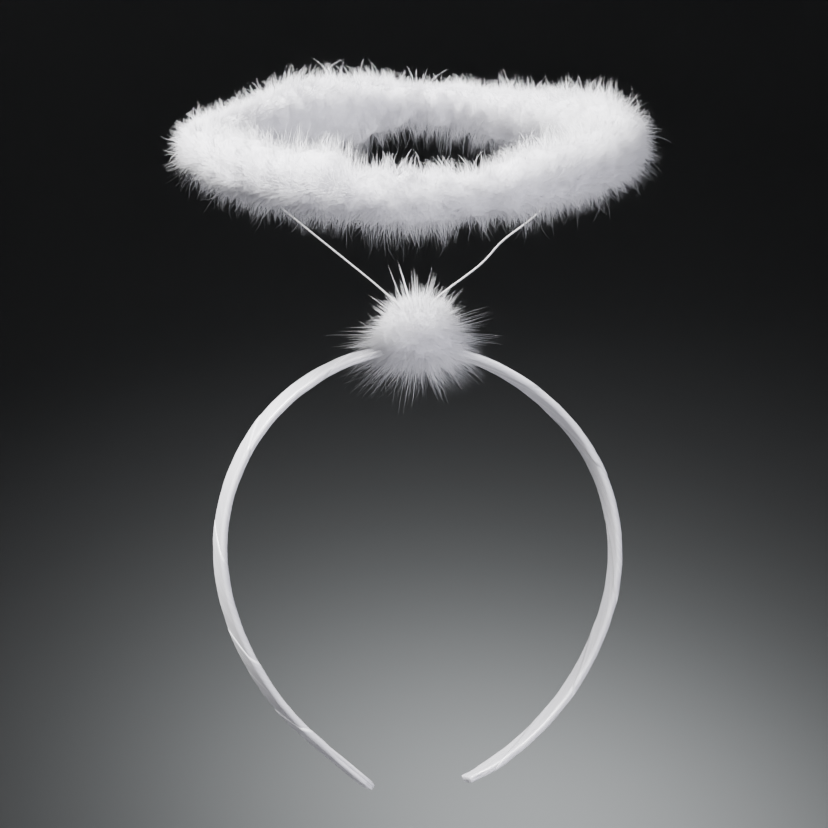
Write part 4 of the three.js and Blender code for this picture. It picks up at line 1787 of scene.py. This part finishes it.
@dataclass
class Studio:
    """The camera, the lights, the floor and the air round the headband."""

    azimuth: float = -15.0
    rise: float = 1.0
    distance: float = 1100.0
    aim: tuple[float, float, float] = (0.0, 0.0, -19.5)
    photo_scale: float = 3.14
    sensor: float = 36.0
    floor_height: float = -0.7
    # The floor's size and its sweep behind the headband, in metres
    floor_side: float = 6.0
    floor_front: float = 2.5
    floor_cells: tuple[int, int] = (4, 90)
    sweep_start: float = 0.7
    sweep_radius: float = 2.7
    sweep_top: float = 1.3
    floor_colour: str = "D9DADB"
    air_colour: str = "0A0A0B"
    lights: tuple[Softbox, ...] = (
        Softbox("key_softbox", (-0.56, -0.14, 0.82), 0.5, 6.2, 52),
        Softbox("top_softbox", (0.12, 0.04, 0.9), 0.4, 0.5, 52),
        Softbox("front_softbox", (0.5, -1.1, 0.8), 0.45, 0.36, 36, "F3F3FF"),
        Softbox("camera_softbox", (-0.3, -0.95, 0.3), 0.22, 0.2, 34, "FAFAFF"),
        Softbox("low_card", (0.25, -0.6, -0.45), 0.45, 0.48, 44, "F3F3FF"),
        Softbox("floor_softbox", (0.6, 1.7, -0.04), 0.2, 0.83, 140, "F4F8F9", (0.65, 1.9, -0.45)),
    )

    def add_camera(self) -> None:
        """Puts the camera at the photograph's angle, and frames a square view."""
        azimuth, rise = math.radians(self.azimuth), math.radians(self.rise)
        back = Vector(
            (math.sin(azimuth) * math.cos(rise), -math.cos(azimuth) * math.cos(rise), math.sin(rise))
        )
        data = bpy.data.cameras.new("camera")
        data.sensor_width = self.sensor
        data.lens = self.sensor / PHOTO_SIDE * self.photo_scale * self.distance
        data.clip_start = 0.05
        data.clip_end = 50.0
        camera = bpy.data.objects.new("camera", data)
        camera.location = (Vector(self.aim) + back * self.distance) * MM
        camera.rotation_euler = (-back).to_track_quat("-Z", "Y").to_euler()
        bpy.context.scene.collection.objects.link(camera)
        bpy.context.scene.camera = camera

    def add_lights(self) -> None:
        """Adds the softboxes, each turned to what it lights."""
        for box in self.lights:
            data = bpy.data.lights.new(box.name, "AREA")
            data.shape = "SQUARE"
            data.size = box.side
            data.energy = box.watts
            data.spread = math.radians(box.spread)
            data.color = linear_colour(box.colour)[:3]
            light = bpy.data.objects.new(box.name, data)
            light.location = box.place
            towards = Vector(box.aim) - Vector(box.place)
            light.rotation_euler = towards.to_track_quat("-Z", "Y").to_euler()
            light.visible_camera = False
            bpy.context.scene.collection.objects.link(light)

    def add_floor(self) -> None:
        """Adds the plain pale floor, which sweeps up far behind the headband."""

        def place(across: np.ndarray, along: np.ndarray) -> np.ndarray:
            """Puts the grid's corners on the floor and its sweep, in metres."""
            x = (across - 0.5) * self.floor_side
            whole = self.floor_front + self.sweep_start + self.sweep_radius * self.sweep_top
            gone = -self.floor_front + along * whole
            turn = np.clip((gone - self.sweep_start) / self.sweep_radius, 0, None)
            y = np.where(turn > 0, self.sweep_start + self.sweep_radius * np.sin(turn), gone)
            z = self.floor_height + self.sweep_radius * (1 - np.cos(turn))
            return np.stack([x, y, z], axis=-1) / MM

        floor = shaped_grid("studio_floor", *self.floor_cells, place)
        floor.data.shade_smooth()
        material, tree = new_material("matt_card")
        shader = add_node(
            tree,
            "ShaderNodeBsdfPrincipled",
            {"Base Color": linear_colour(self.floor_colour), "Roughness": 0.9, "Specular IOR Level": 0.2},
        )
        close_material(tree, shader)
        floor.data.materials.append(material)

    def add_air(self) -> None:
        """Gives the scene a dim even background."""
        world = bpy.data.worlds.new("studio_air")
        world.use_nodes = True
        world.node_tree.nodes["Background"].inputs["Color"].default_value = linear_colour(self.air_colour)
        bpy.context.scene.world = world

    def build(self) -> None:
        """Sets up the studio."""
        self.add_camera()
        self.add_lights()
        self.add_floor()
        self.add_air()


def main() -> None:
    """Builds the studio and each sub-assembly in order."""
    logging.basicConfig(level=logging.INFO, format="%(message)s")
    Studio().build()
    band = AliceBand()
    band.dress_core(MouldedPlastic().build())
    band.make_ribbon(WovenSatin().build())
    stand = HaloStand()
    HaloWire(stand).build(CoveredWire().build())
    bed = MarabouBed().build()
    down = MarabouBarbs().build()
    HaloBoa(stand).build(bed, down)
    CrownPuff().build(bed, down)


if __name__ == "__main__":
    main()
